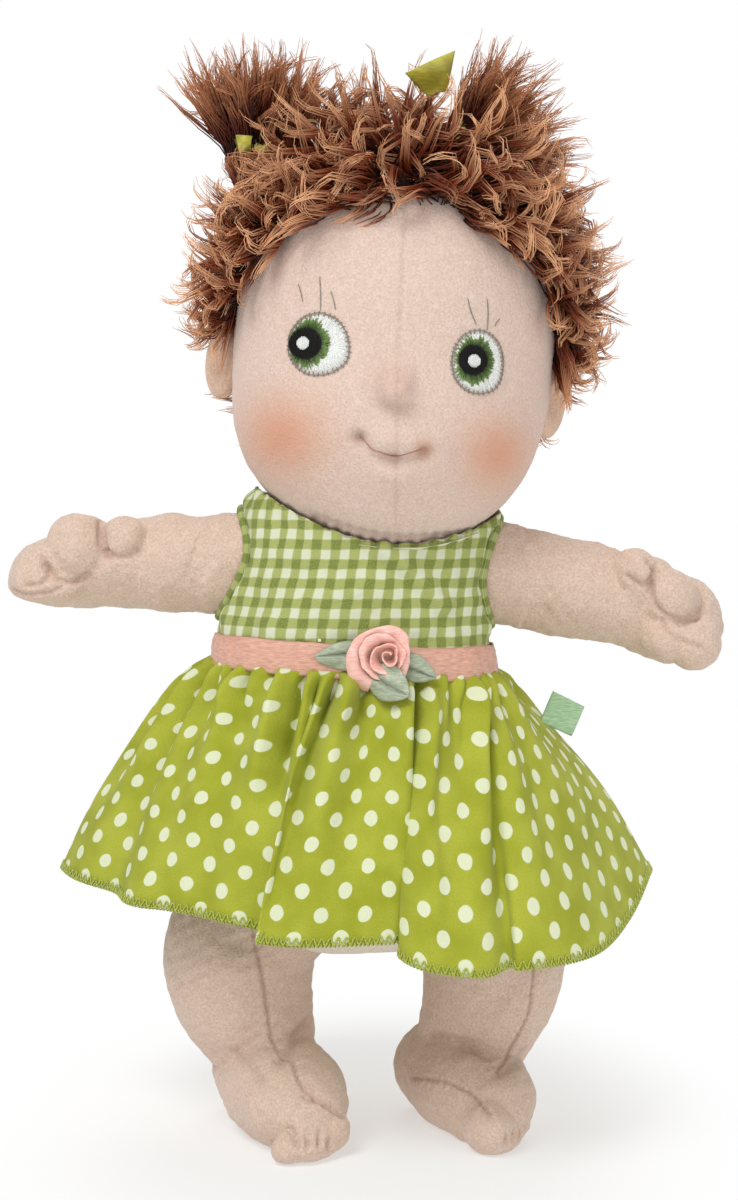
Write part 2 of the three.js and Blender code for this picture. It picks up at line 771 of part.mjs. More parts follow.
function makeLeg(leg) {
  const centres = legDropShares.map((share, i) => at(
    leg.side * leg.outShares[i] * hipHeight, 0, share * hipHeight,
  ));
  const limb = stuffedForm({
    stations: stationsOf(centres, leg.widthShares, legDepthShares, thighRadius, thighBall),
    front: at(0, -1, 0),
    sides: 16,
    rings: 7,
    startCap: 1 / 6,
    endCap: 1 / 8,
  });
  const ankle = centres[centres.length - 1];
  const floor = -hipHeight;
  const length = footLength * leg.lengthShare;
  const footStations = footSpanShares.map((share, i) => ({
    centre: at(0, share * (share > 0 ? footLength : length), footHeightShares[i] * footHalfHeight - soleSink),
    halfWidth: leg.footWidthShares[i] * footHalfWidth,
    halfDepth: footHeightShares[i] * footHalfHeight,
  }));
  let foot = stuffedForm({
    stations: footStations,
    front: at(0, 0, 1),
    sides: 14,
    rings: 6,
    startCap: 1 / 5,
    endCap: 1 / 5,
  });
  for (let i = 0; i < toeCount; i += 1) {
    const share = i / (toeCount - 1);
    const radius = bigToeRadius * (1 - toeTaper * Math.sqrt(share));
    const across = -leg.side * footHalfWidth * (bigToeInShare - toeSpanShare * share);
    const setback = leg.innerSetbackShare * (1 - share) * (1 - share) + leg.outerSetbackShare * share * share;
    const ahead = -length * (toeAheadShare - setback);
    foot = foot.add(egg(radius * toeWideShare, radius * toeLongShare, radius, 8)
      .translate(across, ahead, radius * toeLiftShare - soleSink));
  }
  const sole = block(footLength * 4, footLength * 4, footLength).translate(0, 0, floor - footLength / 2);
  const inward = -leg.side * leg.inShare * footHalfWidth;
  return limb.add(placed(foot, ankle.x + inward, ankle.y, floor, 0, 0, leg.heading)).subtract(sole);
}

// Bodice: thin cloth panels that follow the torso
const bodiceOuter = seamGap + clothThick;
const beltInner = bodiceOuter + seamGap;
const beltOuter = beltInner + ribbonThick;
const waistDepthShare = 0.975;
const beltFront = torsoHalfDepth * waistDepthShare + beltOuter;
const sideSeamY = 2;

function layer(inner, outer) {
  return torsoForm(outer).subtract(torsoForm(inner));
}

function armholeRod(shoulder, radius) {
  const reach = torsoHalfWidth;
  return rodAlongX(radius, reach, 24)
    .translate(shoulder.side * (reach / 2 + torsoHalfWidth * 0.3), 0, shoulder.height);
}

function makeBodice() {
  const tall = torsoTop;
  let shell = layer(seamGap, bodiceOuter).subtract(headRoom);
  const below = block(tall, tall, tall).translate(0, 0, bodiceBottom - beltHeight * 0.2 - tall / 2);
  shell = shell.subtract(below);
  for (const shoulder of shoulders) {
    shell = shell.subtract(armholeRod(shoulder, armholeRadius + bindingHalfWidth + seamGap));
  }
  const half = block(tall, tall, tall * 2);
  const backMiddle = -torsoLean * backMiddleShare;
  const front = half.translate(0, sideSeamY - seamGap / 2 - tall / 2, tall);
  const back = half.translate(0, sideSeamY + seamGap / 2 + tall / 2, tall);
  const backLeft = back.translate(backMiddle + seamGap / 2 + tall / 2, 0, 0);
  const backRight = back.translate(backMiddle - seamGap / 2 - tall / 2, 0, 0);
  const placket = layer(beltInner, beltInner + clothThick * plackThickShare).subtract(headRoom)
    .intersect(block(closureWidth, tall, closureHeight).translate(
      backMiddle, tall / 2, bodiceBottom + beltHeight + closureHeight / 2,
    ));
  return {
    front: mainBody(shell.intersect(front)),
    backLeft: mainBody(shell.intersect(backLeft)),
    backRight: mainBody(shell.intersect(backRight)),
    placket: mainBody(placket),
  };
}

function makeBinding(shoulder) {
  const ring = armholeRod(shoulder, armholeRadius + bindingHalfWidth)
    .subtract(armholeRod(shoulder, armholeRadius));
  return mainBody(ring.intersect(layer(seamGap, bodiceOuter + seamGap)).subtract(headRoom));
}

// Belt: one satin band that dips a little to the doll's left
function beltSlab(grow) {
  const wide = torsoHalfWidth * 4;
  return placed(block(wide, wide, beltHeight + 2 * grow), -torsoLean, 0, waistHeight - 1, 0, beltTilt, 0);
}

function makeBelt() {
  return mainBody(layer(beltInner, beltOuter).intersect(beltSlab(0)));
}

// Skirt: a gathered bell that opens into broad folds at its hem.
// Each row is a place on the hem: the turn from the doll's right over its front, in radians,
// then shares of the hem's half width, half depth and the skirt's length.
const hemLine = [
  [0.00, -1.045, 0.030, 0.127],
  [0.45, -0.784, -0.448, 0.080],
  [0.72, -0.625, -0.597, 0.072],
  [0.98, -0.489, -0.701, 0.059],
  [1.28, -0.398, -0.776, 0.028],
  [1.46, -0.295, -0.896, -0.006],
  [1.72, -0.125, -0.881, -0.008],
  [1.94, 0.080, -0.858, -0.007],
  [2.09, 0.170, -0.970, -0.048],
  [2.22, 0.227, -1.015, -0.076],
  [2.45, 0.341, -1.015, -0.101],
  [2.66, 0.489, -0.955, -0.085],
  [2.86, 0.705, -0.746, -0.066],
  [3.00, 0.847, -0.418, 0.000],
  [3.10, 0.941, -0.119, 0.110],
  [3.25, 0.960, 0.119, 0.120],
  [3.55, 0.841, 0.388, 0.085],
  [3.80, 0.784, 0.522, 0.127],
  [4.05, 0.591, 0.776, 0.077],
  [4.30, 0.443, 0.821, 0.099],
  [4.60, 0.239, 0.955, 0.070],
  [4.85, 0.034, 0.896, 0.120],
  [5.10, -0.205, 0.985, 0.070],
  [5.35, -0.409, 0.821, 0.113],
  [5.60, -0.648, 0.791, 0.085],
  [5.85, -0.773, 0.522, 0.127],
  [6.10, -0.977, 0.299, 0.099],
];
const columnsPerFold = 3;
const backSeamTurn = 4.85;
const skirtPuff = 0.085;
const skirtSwell = 2;
const hemTop = hemHeight + skirtLength * Math.max(...hemLine.map((row) => row[3]));

function hemPoint(around) {
  const full = 2 * Math.PI;
  const count = hemLine.length;
  const asked = ((around % full) + full) % full;
  const here = hemLine.findLastIndex((row) => row[0] <= asked + 1e-9);
  const row = (step) => hemLine[(here + step + count) % count];
  const end = here + 1 < count ? row(1)[0] : full;
  const share = (asked - row(0)[0]) / (end - row(0)[0]);
  const place = [1, 2, 3].map((k) => {
    const [a, b, c, d] = [-1, 0, 1, 2].map((step) => row(step)[k]);
    return 0.5 * (2 * b + (c - a) * share + (2 * a - 5 * b + 4 * c - d) * share ** 2
      + (3 * b - a - 3 * c + d) * share ** 3);
  });
  return at(place[0] * hemHalfWidth, place[1] * hemHalfDepth, hemHeight + place[2] * skirtLength);
}

// Turns of the skirt's columns, once round from the back seam
const skirtTurns = (() => {
  const full = 2 * Math.PI;
  const turns = hemLine.flatMap((row, i) => {
    const next = i + 1 < hemLine.length ? hemLine[i + 1][0] : full;
    const steps = Array.from({ length: columnsPerFold }, (_, k) => k / columnsPerFold);
    return steps.map((step) => row[0] + (next - row[0]) * step);
  });
  const first = turns.findIndex((value) => value > backSeamTurn - 1e-6);
  return [...turns.slice(first), ...turns.slice(0, first).map((value) => value + full)];
})();

function skirtMiddle(angle, share) {
  const hem = hemPoint(angle - Math.PI);
  const top = at(
    skirtTopHalfWidth * Math.cos(angle) - torsoLean, skirtTopHalfDepth * Math.sin(angle), skirtTopHeight,
  );
  const round = Math.sin(Math.PI * share);
  const open = share + skirtPuff * round;
  return at(
    top.x + (hem.x - top.x) * open,
    top.y + (hem.y - top.y) * open,
    top.z + (hem.z - top.z) * share + skirtSwell * round + beltTiltDrop(angle, share),
  );
}

function skirtPoint(angle, share, offset) {
  const step = skirtMiddle(angle + turn(1), share).sub(skirtMiddle(angle - turn(1), share));
  const outward = at(step.y, -step.x, 0).normalize();
  return skirtMiddle(angle, share).addScaledVector(outward, offset);
}

function beltTiltDrop(angle, share) {
  return -Math.sin(turn(beltTilt)) * skirtTopHalfWidth * Math.cos(angle) * (1 - share);
}

function skirtBody(offset, extend) {
  const around = skirtTurns.length;
  const rows = 5;
  const points = [];
  const faces = [];
  const addPoint = (p) => points.push(p.x, p.y, p.z) / 3 - 1;
  for (let row = 0; row <= rows; row += 1) {
    const share = row / rows;
    const stretch = row === 0 ? extend : row === rows ? -extend : 0;
    for (let i = 0; i < around; i += 1) {
      const point = skirtPoint(skirtTurns[i] + Math.PI, share, offset);
      point.z += stretch;
      addPoint(point);
    }
  }
  const top = addPoint(at(-torsoLean, 0, skirtTopHeight + extend));
  const bottom = addPoint(at(0, 0, hemTop - extend));
  for (let i = 0; i < around; i += 1) {
    const next = (i + 1) % around;
    faces.push(top, next, i);
    for (let row = 0; row < rows; row += 1) {
      const here = row * around;
      const there = here + around;
      faces.push(here + i, here + next, there + next);
      faces.push(here + i, there + next, there + i);
    }
    faces.push(bottom, rows * around + i, rows * around + next);
  }
  return solidOfFaces(points, faces);
}

function makeSkirt() {
  const beltRoom = torsoForm(beltOuter + clothThick).intersect(beltSlab(seamGap));
  return mainBody(skirtBody(0, 0).subtract(skirtBody(-clothThick * 1.2, clothThick))
    .subtract(beltRoom).subtract(torsoForm(bodiceOuter + seamGap)));
}

// Overlocked thread under the hem, open for a step at the back seam
function makeOverlock() {
  const steps = skirtTurns.length;
  const column = (i) => skirtPoint(skirtTurns[i] + Math.PI, 1, -clothThick * 0.6);
  const columns = skirtTurns.map((_, i) => column(i));
  const points = [
    columns[0].clone().lerp(columns[1], 0.5),
    ...columns.slice(1),
    columns[steps - 1].clone().lerp(columns[0], 0.5),
  ].map((point) => point.setZ(point.z - seamGap - threadThick / 2));
  const path = new THREE.CatmullRomCurve3(points);
  // The thread bends where the skirt's own columns are
  path.getPointAt = (share) => path.getPoint(share);
  path.getTangentAt = (share) => path.getTangent(share);
  const section = new THREE.Shape(circleOutline(0, 0, threadThick / 2, 4));
  return solidOf(new THREE.ExtrudeGeometry(section, {
    extrudePath: path, steps, bevelEnabled: false,
  }));
}

function makeTag() {
  const share = tagDrop / skirtLength;
  const root = skirtPoint(0, share, 0);
  const tag = block(tagSize + 2 * tagTuck, ribbonThick, tagSize).translate(tagSize / 2 - tagTuck / 2, 0, 0);
  return mainBody(
    placed(tag, root.x, root.y, root.z, 0, tagTilt, tagTurn).subtract(skirtBody(seamGap, 0)),
  );
}

// Rose: one ribbon coiled on itself, over three looped leaves
function makeRose() {
  const steps = 44;
  const start = roseRadius * roseEyeShare;
  const thick = ribbonThick * rosePetalShare;
  const edge = (side) => Array.from({ length: steps + 1 }, (_, i) => {
    const share = i / steps;
    const angle = roseTurns * 2 * Math.PI * share;
    const radius = start + (roseRadius - start) * share + (side * thick) / 2;
    return new THREE.Vector2(radius * Math.cos(angle), radius * Math.sin(angle));
  });
  const coil = plate([...edge(1), ...edge(-1).reverse()], roseDepth);
  const back = beltFront + seamGap * 2 + ribbonThick;
  return coil.translate(roseX, -back - roseDepth / 2, roseHeight);
}

const leafShapes = {
  left: { fall: 24, root: 0.16, tilt: 0 },
  right: { fall: 180, root: 0.16, tilt: 0 },
  lower: { fall: 66, root: 0.46, tilt: 34 },
};

function leafSolid(name, grow) {
  const { fall, root, tilt } = leafShapes[name];
  const steps = 8;
  const half = (sign) => Array.from({ length: steps + 1 }, (_, i) => {
    const share = i / steps;
    const swell = Math.pow(Math.sin(Math.PI * Math.pow(share, leafFullness)), leafFullness);
    const reach = leafLength * (1 - root) * share;
    return new THREE.Vector2(reach + grow * (2 * share - 1), sign * ((swell * leafWidth) / 2 + grow));
  });
  const upper = half(1);
  const lower = half(-1).reverse();
  const outline = grow > 0 ? [...lower, ...upper] : [...lower.slice(0, -1), ...upper.slice(0, -1)];
  const leaf = placed(plate(outline.reverse(), ribbonThick), 0, 0, 0, 0, 0, -tilt)
    .translate(leafLength * root, 0, 0).rotate([0, fall, 0]);
  return leaf.translate(roseX, -beltFront - seamGap - ribbonThick / 2, roseHeight);
}

// Assembly: one group for each body that moves on its own
const doll = new THREE.Group();
doll.name = 'doll';

function addGroup(parent, name, x, y, z, turnY = 0) {
  const group = new THREE.Group();
  group.name = name;
  group.position.set(x, y, z);
  group.rotation.y = turn(turnY);
  parent.add(group);
  return group;
}

function addPiece(parent, name, solid, material) {
  const mesh = new THREE.Mesh(geometryOf(solid), material);
  mesh.name = name;
  parent.add(mesh);
  return mesh;
}

const trunkGroup = addGroup(doll, 'trunk', 0, 0, 0);
addPiece(trunkGroup, 'torso', makeTorso(), palette.cotton);
const bodice = makeBodice();
addPiece(trunkGroup, 'bodice_front', bodice.front, palette.gingham);
addPiece(trunkGroup, 'bodice_back_left', bodice.backLeft, palette.gingham);
addPiece(trunkGroup, 'bodice_back_right', bodice.backRight, palette.gingham);
addPiece(trunkGroup, 'back_placket', bodice.placket, palette.gingham);
for (const shoulder of shoulders) {
  addPiece(trunkGroup, `${shoulder.name}_armhole_binding`, makeBinding(shoulder), palette.gingham);
}
addPiece(trunkGroup, 'waist_ribbon', makeBelt(), palette.belt);
addPiece(trunkGroup, 'skirt', makeSkirt(), palette.dotted);
addPiece(trunkGroup, 'hem_overlock', makeOverlock(), palette.overlock);
addPiece(trunkGroup, 'side_tag', makeTag(), palette.tag);
addPiece(trunkGroup, 'ribbon_rose', makeRose(), palette.rose);
addPiece(trunkGroup, 'rose_leaf_left', leafSolid('left', 0), palette.leaf);
addPiece(trunkGroup, 'rose_leaf_right', leafSolid('right', 0), palette.leaf);
addPiece(trunkGroup, 'rose_leaf_lower', mainBody(
  leafSolid('lower', 0).subtract(leafSolid('left', seamGap)),
), palette.leaf);

const neckGroup = addGroup(doll, 'neck_body', neckX, neckY, neckHeight, headRoll);
addPiece(neckGroup, 'neck', makeNeck(), palette.cotton);

const headGroup = addGroup(neckGroup, 'head_body', 0, 0, headRise);
addPiece(headGroup, 'head', makeHead(), palette.velour);
for (const shoulder of shoulders) {
  addPiece(headGroup, `${shoulder.name}_ear`, makeEar(shoulder.side), palette.ear);
  const eye = makeEye(shoulder.side);
  addPiece(headGroup, `${shoulder.name}_eye_white`, eye.white, palette.eyeWhite);
  addPiece(headGroup, `${shoulder.name}_eye_iris`, eye.iris, palette.iris);
  addPiece(headGroup, `${shoulder.name}_eye_pupil`, eye.pupil, palette.pupil);
  addPiece(headGroup, `${shoulder.name}_eye_glint`, eye.glint, palette.eyeWhite);
  addPiece(headGroup, `${shoulder.name}_eye_lashes`, eye.lashes, palette.lash);
}
addPiece(headGroup, 'mouth_stitch', makeMouth(), palette.mouth);
addPiece(headGroup, 'wig', makeWig(), palette.hair);
for (const bunch of bunchShapes) {
  const body = mainBody(bunchForm(bunch, 0).subtract(wigForm(seamGap)));
  addPiece(headGroup, `${bunch.name}_hair_bunch`, body, palette.hair);
  addPiece(headGroup, `${bunch.name}_hair_ribbon`, makeTie(bunch), palette.bow);
}

for (const shoulder of shoulders) {
  const group = addGroup(
    doll, `${shoulder.name}_arm_body`, shoulder.side * shoulderReach, 0, shoulder.height,
    shoulder.side * shoulder.droop,
  );
  addPiece(group, `${shoulder.name}_arm`, armForm(shoulder, 0), palette.velour);
}

for (const leg of legs) {
  const group = addGroup(doll, `${leg.name}_leg_body`, leg.side * hipReach, hipY, hipHeight);
  addPiece(group, `${leg.name}_leg`, makeLeg(leg), palette.velour);
}

// The middle of the whole doll stands over the origin
const bounds = new THREE.Box3().setFromObject(doll, true);
const middle = bounds.getCenter(new THREE.Vector3());
doll.position.set(-middle.x, -middle.y, 0);

export default doll;
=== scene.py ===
"""Soft cloth doll: velour skin, embroidered eyes, curly wig with two bunches, sewn summer dress.

Sizes are millimetres until a mesh is made. The face looks along -Y and +Z is up.
"""
import math

import bmesh
import bpy
import numpy as np
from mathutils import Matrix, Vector


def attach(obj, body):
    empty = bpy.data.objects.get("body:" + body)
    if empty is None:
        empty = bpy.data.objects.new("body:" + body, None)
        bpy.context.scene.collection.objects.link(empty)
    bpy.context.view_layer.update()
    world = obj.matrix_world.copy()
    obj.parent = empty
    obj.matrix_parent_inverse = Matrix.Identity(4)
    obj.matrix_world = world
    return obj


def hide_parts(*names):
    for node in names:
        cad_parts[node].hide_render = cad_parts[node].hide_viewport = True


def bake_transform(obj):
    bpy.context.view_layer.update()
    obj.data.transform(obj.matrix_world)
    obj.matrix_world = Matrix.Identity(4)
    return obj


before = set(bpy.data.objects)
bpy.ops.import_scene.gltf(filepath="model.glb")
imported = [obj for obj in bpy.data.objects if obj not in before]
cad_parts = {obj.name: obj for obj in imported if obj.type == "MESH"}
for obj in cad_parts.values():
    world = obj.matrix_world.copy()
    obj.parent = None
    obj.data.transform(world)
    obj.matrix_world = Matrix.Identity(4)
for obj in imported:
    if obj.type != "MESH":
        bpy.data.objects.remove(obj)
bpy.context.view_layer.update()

MM = 0.001
SHIFT = np.array([0.89, -0.141, 0.0])

# Sizes
HEAD_ROLL = math.radians(5.5)
HEAD_MIDDLE = np.array([7.932, -2.141, 229.715])
HEAD_W, HEAD_D, HEAD_BELOW, HEAD_ABOVE = 47.2, 44.5, 53.0, 57.0
HEAD_FULL = 2.6
NECK = np.array([1.99, -2.141, 168.0])
TORSO_BOTTOM, TORSO_TOP = 52.0, 197.0
TORSO_W, TORSO_D, TORSO_LEAN, TORSO_PLAN = 41.0, 31.0, 4.4, 2.2
SHOULDER_REACH = 37.0
SHOULDER_Z = {"right": 168.5, "left": 166.0}
ARM_DROOP = {"right": 2.0, "left": 14.0}
ARM_ROOT, ARM_LENGTH = 15.0, 71.0
HIP_REACH, HIP_Y, HIP_Z = 29.5, 1.0, 70.0
SIDES = {"right": -1.0, "left": 1.0}


# Mesh helpers
def unit(v):
    """The same direction, with a length of 1."""
    return v / np.maximum(np.linalg.norm(v, axis=-1, keepdims=True), 1e-9)


def smooth_step(low, high, x):
    """Goes smoothly from 0 at low to 1 at high; low may be the larger one."""
    t = np.clip((x - low) / (high - low), 0, 1)
    return t * t * (3 - 2 * t)


def ring_angles(count):
    """Even angles all the way round."""
    return np.linspace(0, 2 * math.pi, count, endpoint=False)


def wobble(points, size, seed, waves=9):
    """Smooth wandering values about 0, with bumps roughly size apart."""
    dice = np.random.default_rng(seed)
    ways = unit(dice.normal(size=(waves, points.shape[-1])))
    lengths = size * dice.uniform(0.7, 1.5, waves)
    phases = dice.uniform(0, 2 * math.pi, waves)
    return np.sin(points @ ways.T * (2 * math.pi / lengths) + phases).sum(-1) / math.sqrt(waves)


def set_marks(mesh, marks):
    """Stores named values on a mesh's points, for the finishes to read."""
    for key, values in marks.items():
        layer = mesh.attributes.get(key) or mesh.attributes.new(key, "FLOAT", "POINT")
        layer.data.foreach_set("value", np.asarray(values, np.float32))


def new_object(name, data):
    made = bpy.data.objects.new(name, data)
    bpy.context.collection.objects.link(made)
    return made


def piece(name, points, faces, finish, uv=None, marks=None):
    """A plain smooth mesh at the origin from millimetre points."""
    mesh = bpy.data.meshes.new(name)
    mesh.from_pydata((np.asarray(points) * MM).tolist(), [], [tuple(int(i) for i in f) for f in faces])
    mesh.update()
    set_marks(mesh, marks or {})
    if uv is not None:
        layer = mesh.uv_layers.new(name="cloth")
        corner = np.zeros(len(mesh.loops), np.int32)
        mesh.loops.foreach_get("vertex_index", corner)
        layer.data.foreach_set("uv", (np.asarray(uv, float) * MM)[corner].astype(np.float32).ravel())
    mesh.materials.append(finish)
    mesh.shade_smooth()
    return new_object(name, mesh)


def grid_faces(rows, columns, closed=False):
    """Quads over rows of points; closed joins the last column to the first."""
    r = np.arange(rows - 1)[:, None]
    c = np.arange(columns if closed else columns - 1)[None, :]
    n = (c + 1) % columns
    quads = np.stack([r * columns + c, r * columns + n, (r + 1) * columns + n, (r + 1) * columns + c], -1)
    return quads.reshape(-1, 4)


def trim(points, faces, field):
    """Keeps the part of a surface where field is positive, with a clean edge."""
    new_points = list(points)
    cuts = {}

    def cut(a, b):
        key = (a, b) if a < b else (b, a)
        if key not in cuts:
            t = field[a] / (field[a] - field[b])
            cuts[key] = len(new_points)
            new_points.append(points[a] * (1 - t) + points[b] * t)
        return cuts[key]

    kept = []
    for face in faces:
        inside = [field[i] > 0 for i in face]
        if all(inside):
            kept.append(tuple(face))
        elif any(inside):
            shape = []
            for k, a in enumerate(face):
                b = face[(k + 1) % len(face)]
                if field[a] > 0:
                    shape.append(a)
                if (field[a] > 0) != (field[b] > 0):
                    shape.append(cut(a, b))
            if len(shape) > 2:
                kept.append(tuple(shape))
    used = sorted({i for f in kept for i in f})
    place = {old: new for new, old in enumerate(used)}
    return np.array([new_points[i] for i in used]), [tuple(place[i] for i in f) for f in kept]


def read_points(made, key):
    flat = np.zeros(len(made.data.vertices) * 3, np.float32)
    made.data.vertices.foreach_get(key, flat)
    return flat.reshape(-1, 3).astype(float)


def where(made):
    """Places of a piece's points, in millimetres."""
    return read_points(made, "co") / MM


def outward(made):
    """The way that a piece faces at each of its points."""
    return read_points(made, "normal")


def put(made, points):
    made.data.vertices.foreach_set("co", (points * MM).astype(np.float32).ravel())
    made.data.update()


def tidy_normals(made):
    """Turns all faces outwards."""
    mesh = bmesh.new()
    mesh.from_mesh(made.data)
    bmesh.ops.recalc_face_normals(mesh, faces=mesh.faces)
    mesh.to_mesh(made.data)
    mesh.free()
    made.data.update()


def add_modifier(obj, kind, **settings):
    modifier = obj.modifiers.new(kind.title(), kind)
    for key, value in settings.items():
        setattr(modifier, key, value)


def made_plain(obj):
    """Turns an object's modifiers into its plain mesh."""
    graph = bpy.context.evaluated_depsgraph_get()
    mesh = bpy.data.meshes.new_from_object(obj.evaluated_get(graph))
    obj.modifiers.clear()
    obj.data = mesh
    return obj


def thickened(obj, thickness):
    """Gives a sheet its thickness, half of it on each side."""
    add_modifier(obj, "SOLIDIFY", thickness=thickness * MM, offset=0.0, use_even_offset=False)
    return made_plain(obj)


def distance_to_line(points, line):
    """Distance from each point to a line of points."""
    best = np.full(len(points), 1e9)
    for a, b in zip(line[:-1], line[1:]):
        way = b - a
        t = np.clip((points - a) @ way / max(way @ way, 1e-9), 0, 1)
        best = np.minimum(best, np.linalg.norm(points - a - t[:, None] * way, axis=1))
    return best


def run_along(line):
    """How far along a line each of its points lies."""
    return np.concatenate([[0], np.cumsum(np.linalg.norm(np.diff(line, axis=0), axis=1))])


def between(a, b, c, d, t):
    """The Catmull-Rom point at share t of the way from b to c; a and d are the next ones out."""
    return 0.5 * (2 * b + (c - a) * t + (2 * a - 5 * b + 4 * c - d) * t * t
                  + (3 * b - a - 3 * c + d) * t ** 3)


def curve_through(points, steps):
    """A smooth line through points, with a number of steps between two of them."""
    p = np.asarray(points, float)
    p = np.vstack([2 * p[0] - p[1], p, 2 * p[-1] - p[-2]])
    out = []
    for i in range(1, len(p) - 2):
        for t in np.linspace(0, 1, steps, endpoint=False):
            out.append(between(p[i - 1], p[i], p[i + 1], p[i + 2], t))
    out.append(p[-2])
    return np.array(out)


# Finishes
def colour(red, green, blue):
    """Linear colour from the 0 to 255 values that the eye reads."""
    def line(v):
        v /= 255
        return v / 12.92 if v <= 0.04045 else ((v + 0.055) / 1.055) ** 2.4
    return (line(red), line(green), line(blue), 1.0)


class Nodes:
    """A node tree in the making, with short calls for its nodes."""

    def __init__(self, tree):
        self.tree = tree

    def add(self, kind, settings=None, **inputs):
        """Adds a node; an input goes by its name, or by i and its number."""
        node = self.tree.nodes.new(kind)
        for key, value in (settings or {}).items():
            setattr(node, key, value)
        for key, value in inputs.items():
            numbered = key[0] == "i" and key[1:].isdigit()
            self.put(node.inputs[int(key[1:]) if numbered else key.replace("_", " ")], value)
        return node

    def put(self, socket, value):
        if isinstance(value, bpy.types.NodeSocket):
            self.tree.links.new(value, socket)
        else:
            socket.default_value = value

    def math(self, operation, a, b=0.0, c=0.0):
        return self.add("ShaderNodeMath", {"operation": operation}, i0=a, i1=b, i2=c).outputs[0]

    def vector(self, operation, a, **inputs):
        node = self.add("ShaderNodeVectorMath", {"operation": operation}, i0=a, **inputs)
        return node.outputs["Value" if operation == "LENGTH" else "Vector"]


class Finish(Nodes):
    """A node material in the making."""

    def __init__(self, name, **shader):
        self.material = bpy.data.materials.new(name)
        self.material.use_nodes = True
        super().__init__(self.material.node_tree)
        self.shader = self.tree.nodes["Principled BSDF"]
        for key, value in shader.items():
            self.shader.inputs[key.replace("_", " ")].default_value = value

    def place(self):
        return self.add("ShaderNodeTexCoord").outputs["Object"]

    def cloth_place(self):
        return self.add("ShaderNodeUVMap", {"uv_map": "cloth"}).outputs["UV"]

    def parts(self, vector):
        """The numbers that make up a vector."""
        return self.add("ShaderNodeSeparateXYZ", Vector=vector).outputs

    def mark(self, name):
        return self.add("ShaderNodeAttribute", {"attribute_name": name}).outputs["Fac"]

    def noise(self, where, scale, detail=2.0, roughness=0.5):
        return self.add("ShaderNodeTexNoise", Vector=where, Scale=scale, Detail=detail,
                        Roughness=roughness).outputs["Fac"]

    def ramp(self, value, *stops):
        node = self.add("ShaderNodeValToRGB", Fac=value)
        element = node.color_ramp.elements
        while len(element) < len(stops):
            element.new(0.5)
        for item, (at, shade) in zip(element, stops):
            item.position = at
            item.color = shade if len(shade) == 4 else (*shade, 1)
        return node.outputs["Color"]

    def mix(self, share, a, b):
        return self.add("ShaderNodeMix", {"data_type": "RGBA"}, i0=share, i6=a, i7=b).outputs[2]

    def range(self, value, low, high, to_low=0.0, to_high=1.0):
        return self.add("ShaderNodeMapRange", {"interpolation_type": "SMOOTHSTEP"}, i0=value, i1=low,
                        i2=high, i3=to_low, i4=to_high).outputs[0]

    def drifted(self, where, scale, much):
        """Cloth places that wander a little, so that a print isn't ruler straight."""
        drift = self.add("ShaderNodeTexNoise", Vector=where, Scale=scale, Detail=1.0)
        return self.vector("MULTIPLY_ADD", drift.outputs["Color"], i1=(much, much, 0.0), i2=where)

    def bump(self, height, distance, strength):
        node = self.add("ShaderNodeBump", Height=height, Distance=distance, Strength=strength)
        return node.outputs["Normal"]

    def paint(self, base, normal=None):
        self.put(self.shader.inputs["Base Color"], base)
        if normal is not None:
            self.put(self.shader.inputs["Normal"], normal)
        return self.material


def velour_finish(name, light, deep, blush=None, shade=(150, 116, 96)):
    """Short fleece pile: speckled fibres, soft mottling, painted shade along seams, in creases and under
    the nose, and a rubbed-in blush.
    """
    f = Finish(name, Roughness=0.92, Sheen_Weight=0.3, Sheen_Roughness=0.45, Specular_IOR_Level=0.18)
    where = f.place()
    fibre = f.noise(where, 1500.0, 2.0, 0.62)
    clump = f.noise(where, 420.0, 2.0, 0.55)
    body = f.mix(f.range(fibre, 0.3, 0.7), colour(*deep), colour(*light))
    body = f.mix(f.range(clump, 0.3, 0.75, 0.0, 0.3), body, colour(*deep))
    if blush:
        body = f.mix(f.math("MULTIPLY", f.mark("blush"), f.range(fibre, 0.2, 0.7, 0.72, 1.0)), body,
                     colour(*blush))
    body = f.mix(f.mark("shade"), body, colour(*shade))
    height = f.math("ADD", fibre, f.math("MULTIPLY", clump, 0.8))
    return f.paint(body, f.bump(height, 0.0005, 0.75))


def woven_height(f, where, pitch):
    """Height of a plain weave, from cloth place in metres."""
    x, y, _ = f.parts(where)
    turn = 2 * math.pi / pitch
    return f.math("MULTIPLY", f.math("SINE", f.math("MULTIPLY", x, turn)),
                  f.math("SINE", f.math("MULTIPLY", y, turn)))


def gingham_finish():
    """Two-way checks: white, half-green and full green squares in a plain weave."""
    f = Finish("Gingham_cotton", Roughness=0.88, Sheen_Weight=0.12, Specular_IOR_Level=0.25)
    where = f.cloth_place()
    turn = 2 * math.pi / GINGHAM_REPEAT
    x, y, _ = f.parts(f.drifted(where, 260.0, 0.0007))
    across, along = [f.range(f.math("SINE", f.math("MULTIPLY", way, turn)), -0.28, 0.28) for way in (x, y)]
    amount = f.math("MULTIPLY", f.math("ADD", across, along), 0.5)
    body = f.ramp(amount, (0.0, colour(216, 222, 194)), (0.5, colour(164, 172, 94)),
                  (1.0, colour(114, 127, 36)))
    thread = f.noise(where, 2600.0, 1.0)
    body = f.mix(f.range(thread, 0.3, 0.75, 0.0, 0.22), body, colour(214, 220, 178))
    weave = woven_height(f, where, 0.00062)
    normal = f.bump(f.math("ADD", weave, f.math("MULTIPLY", thread, 1.5)), 0.00012, 0.6)
    return f.paint(body, normal)


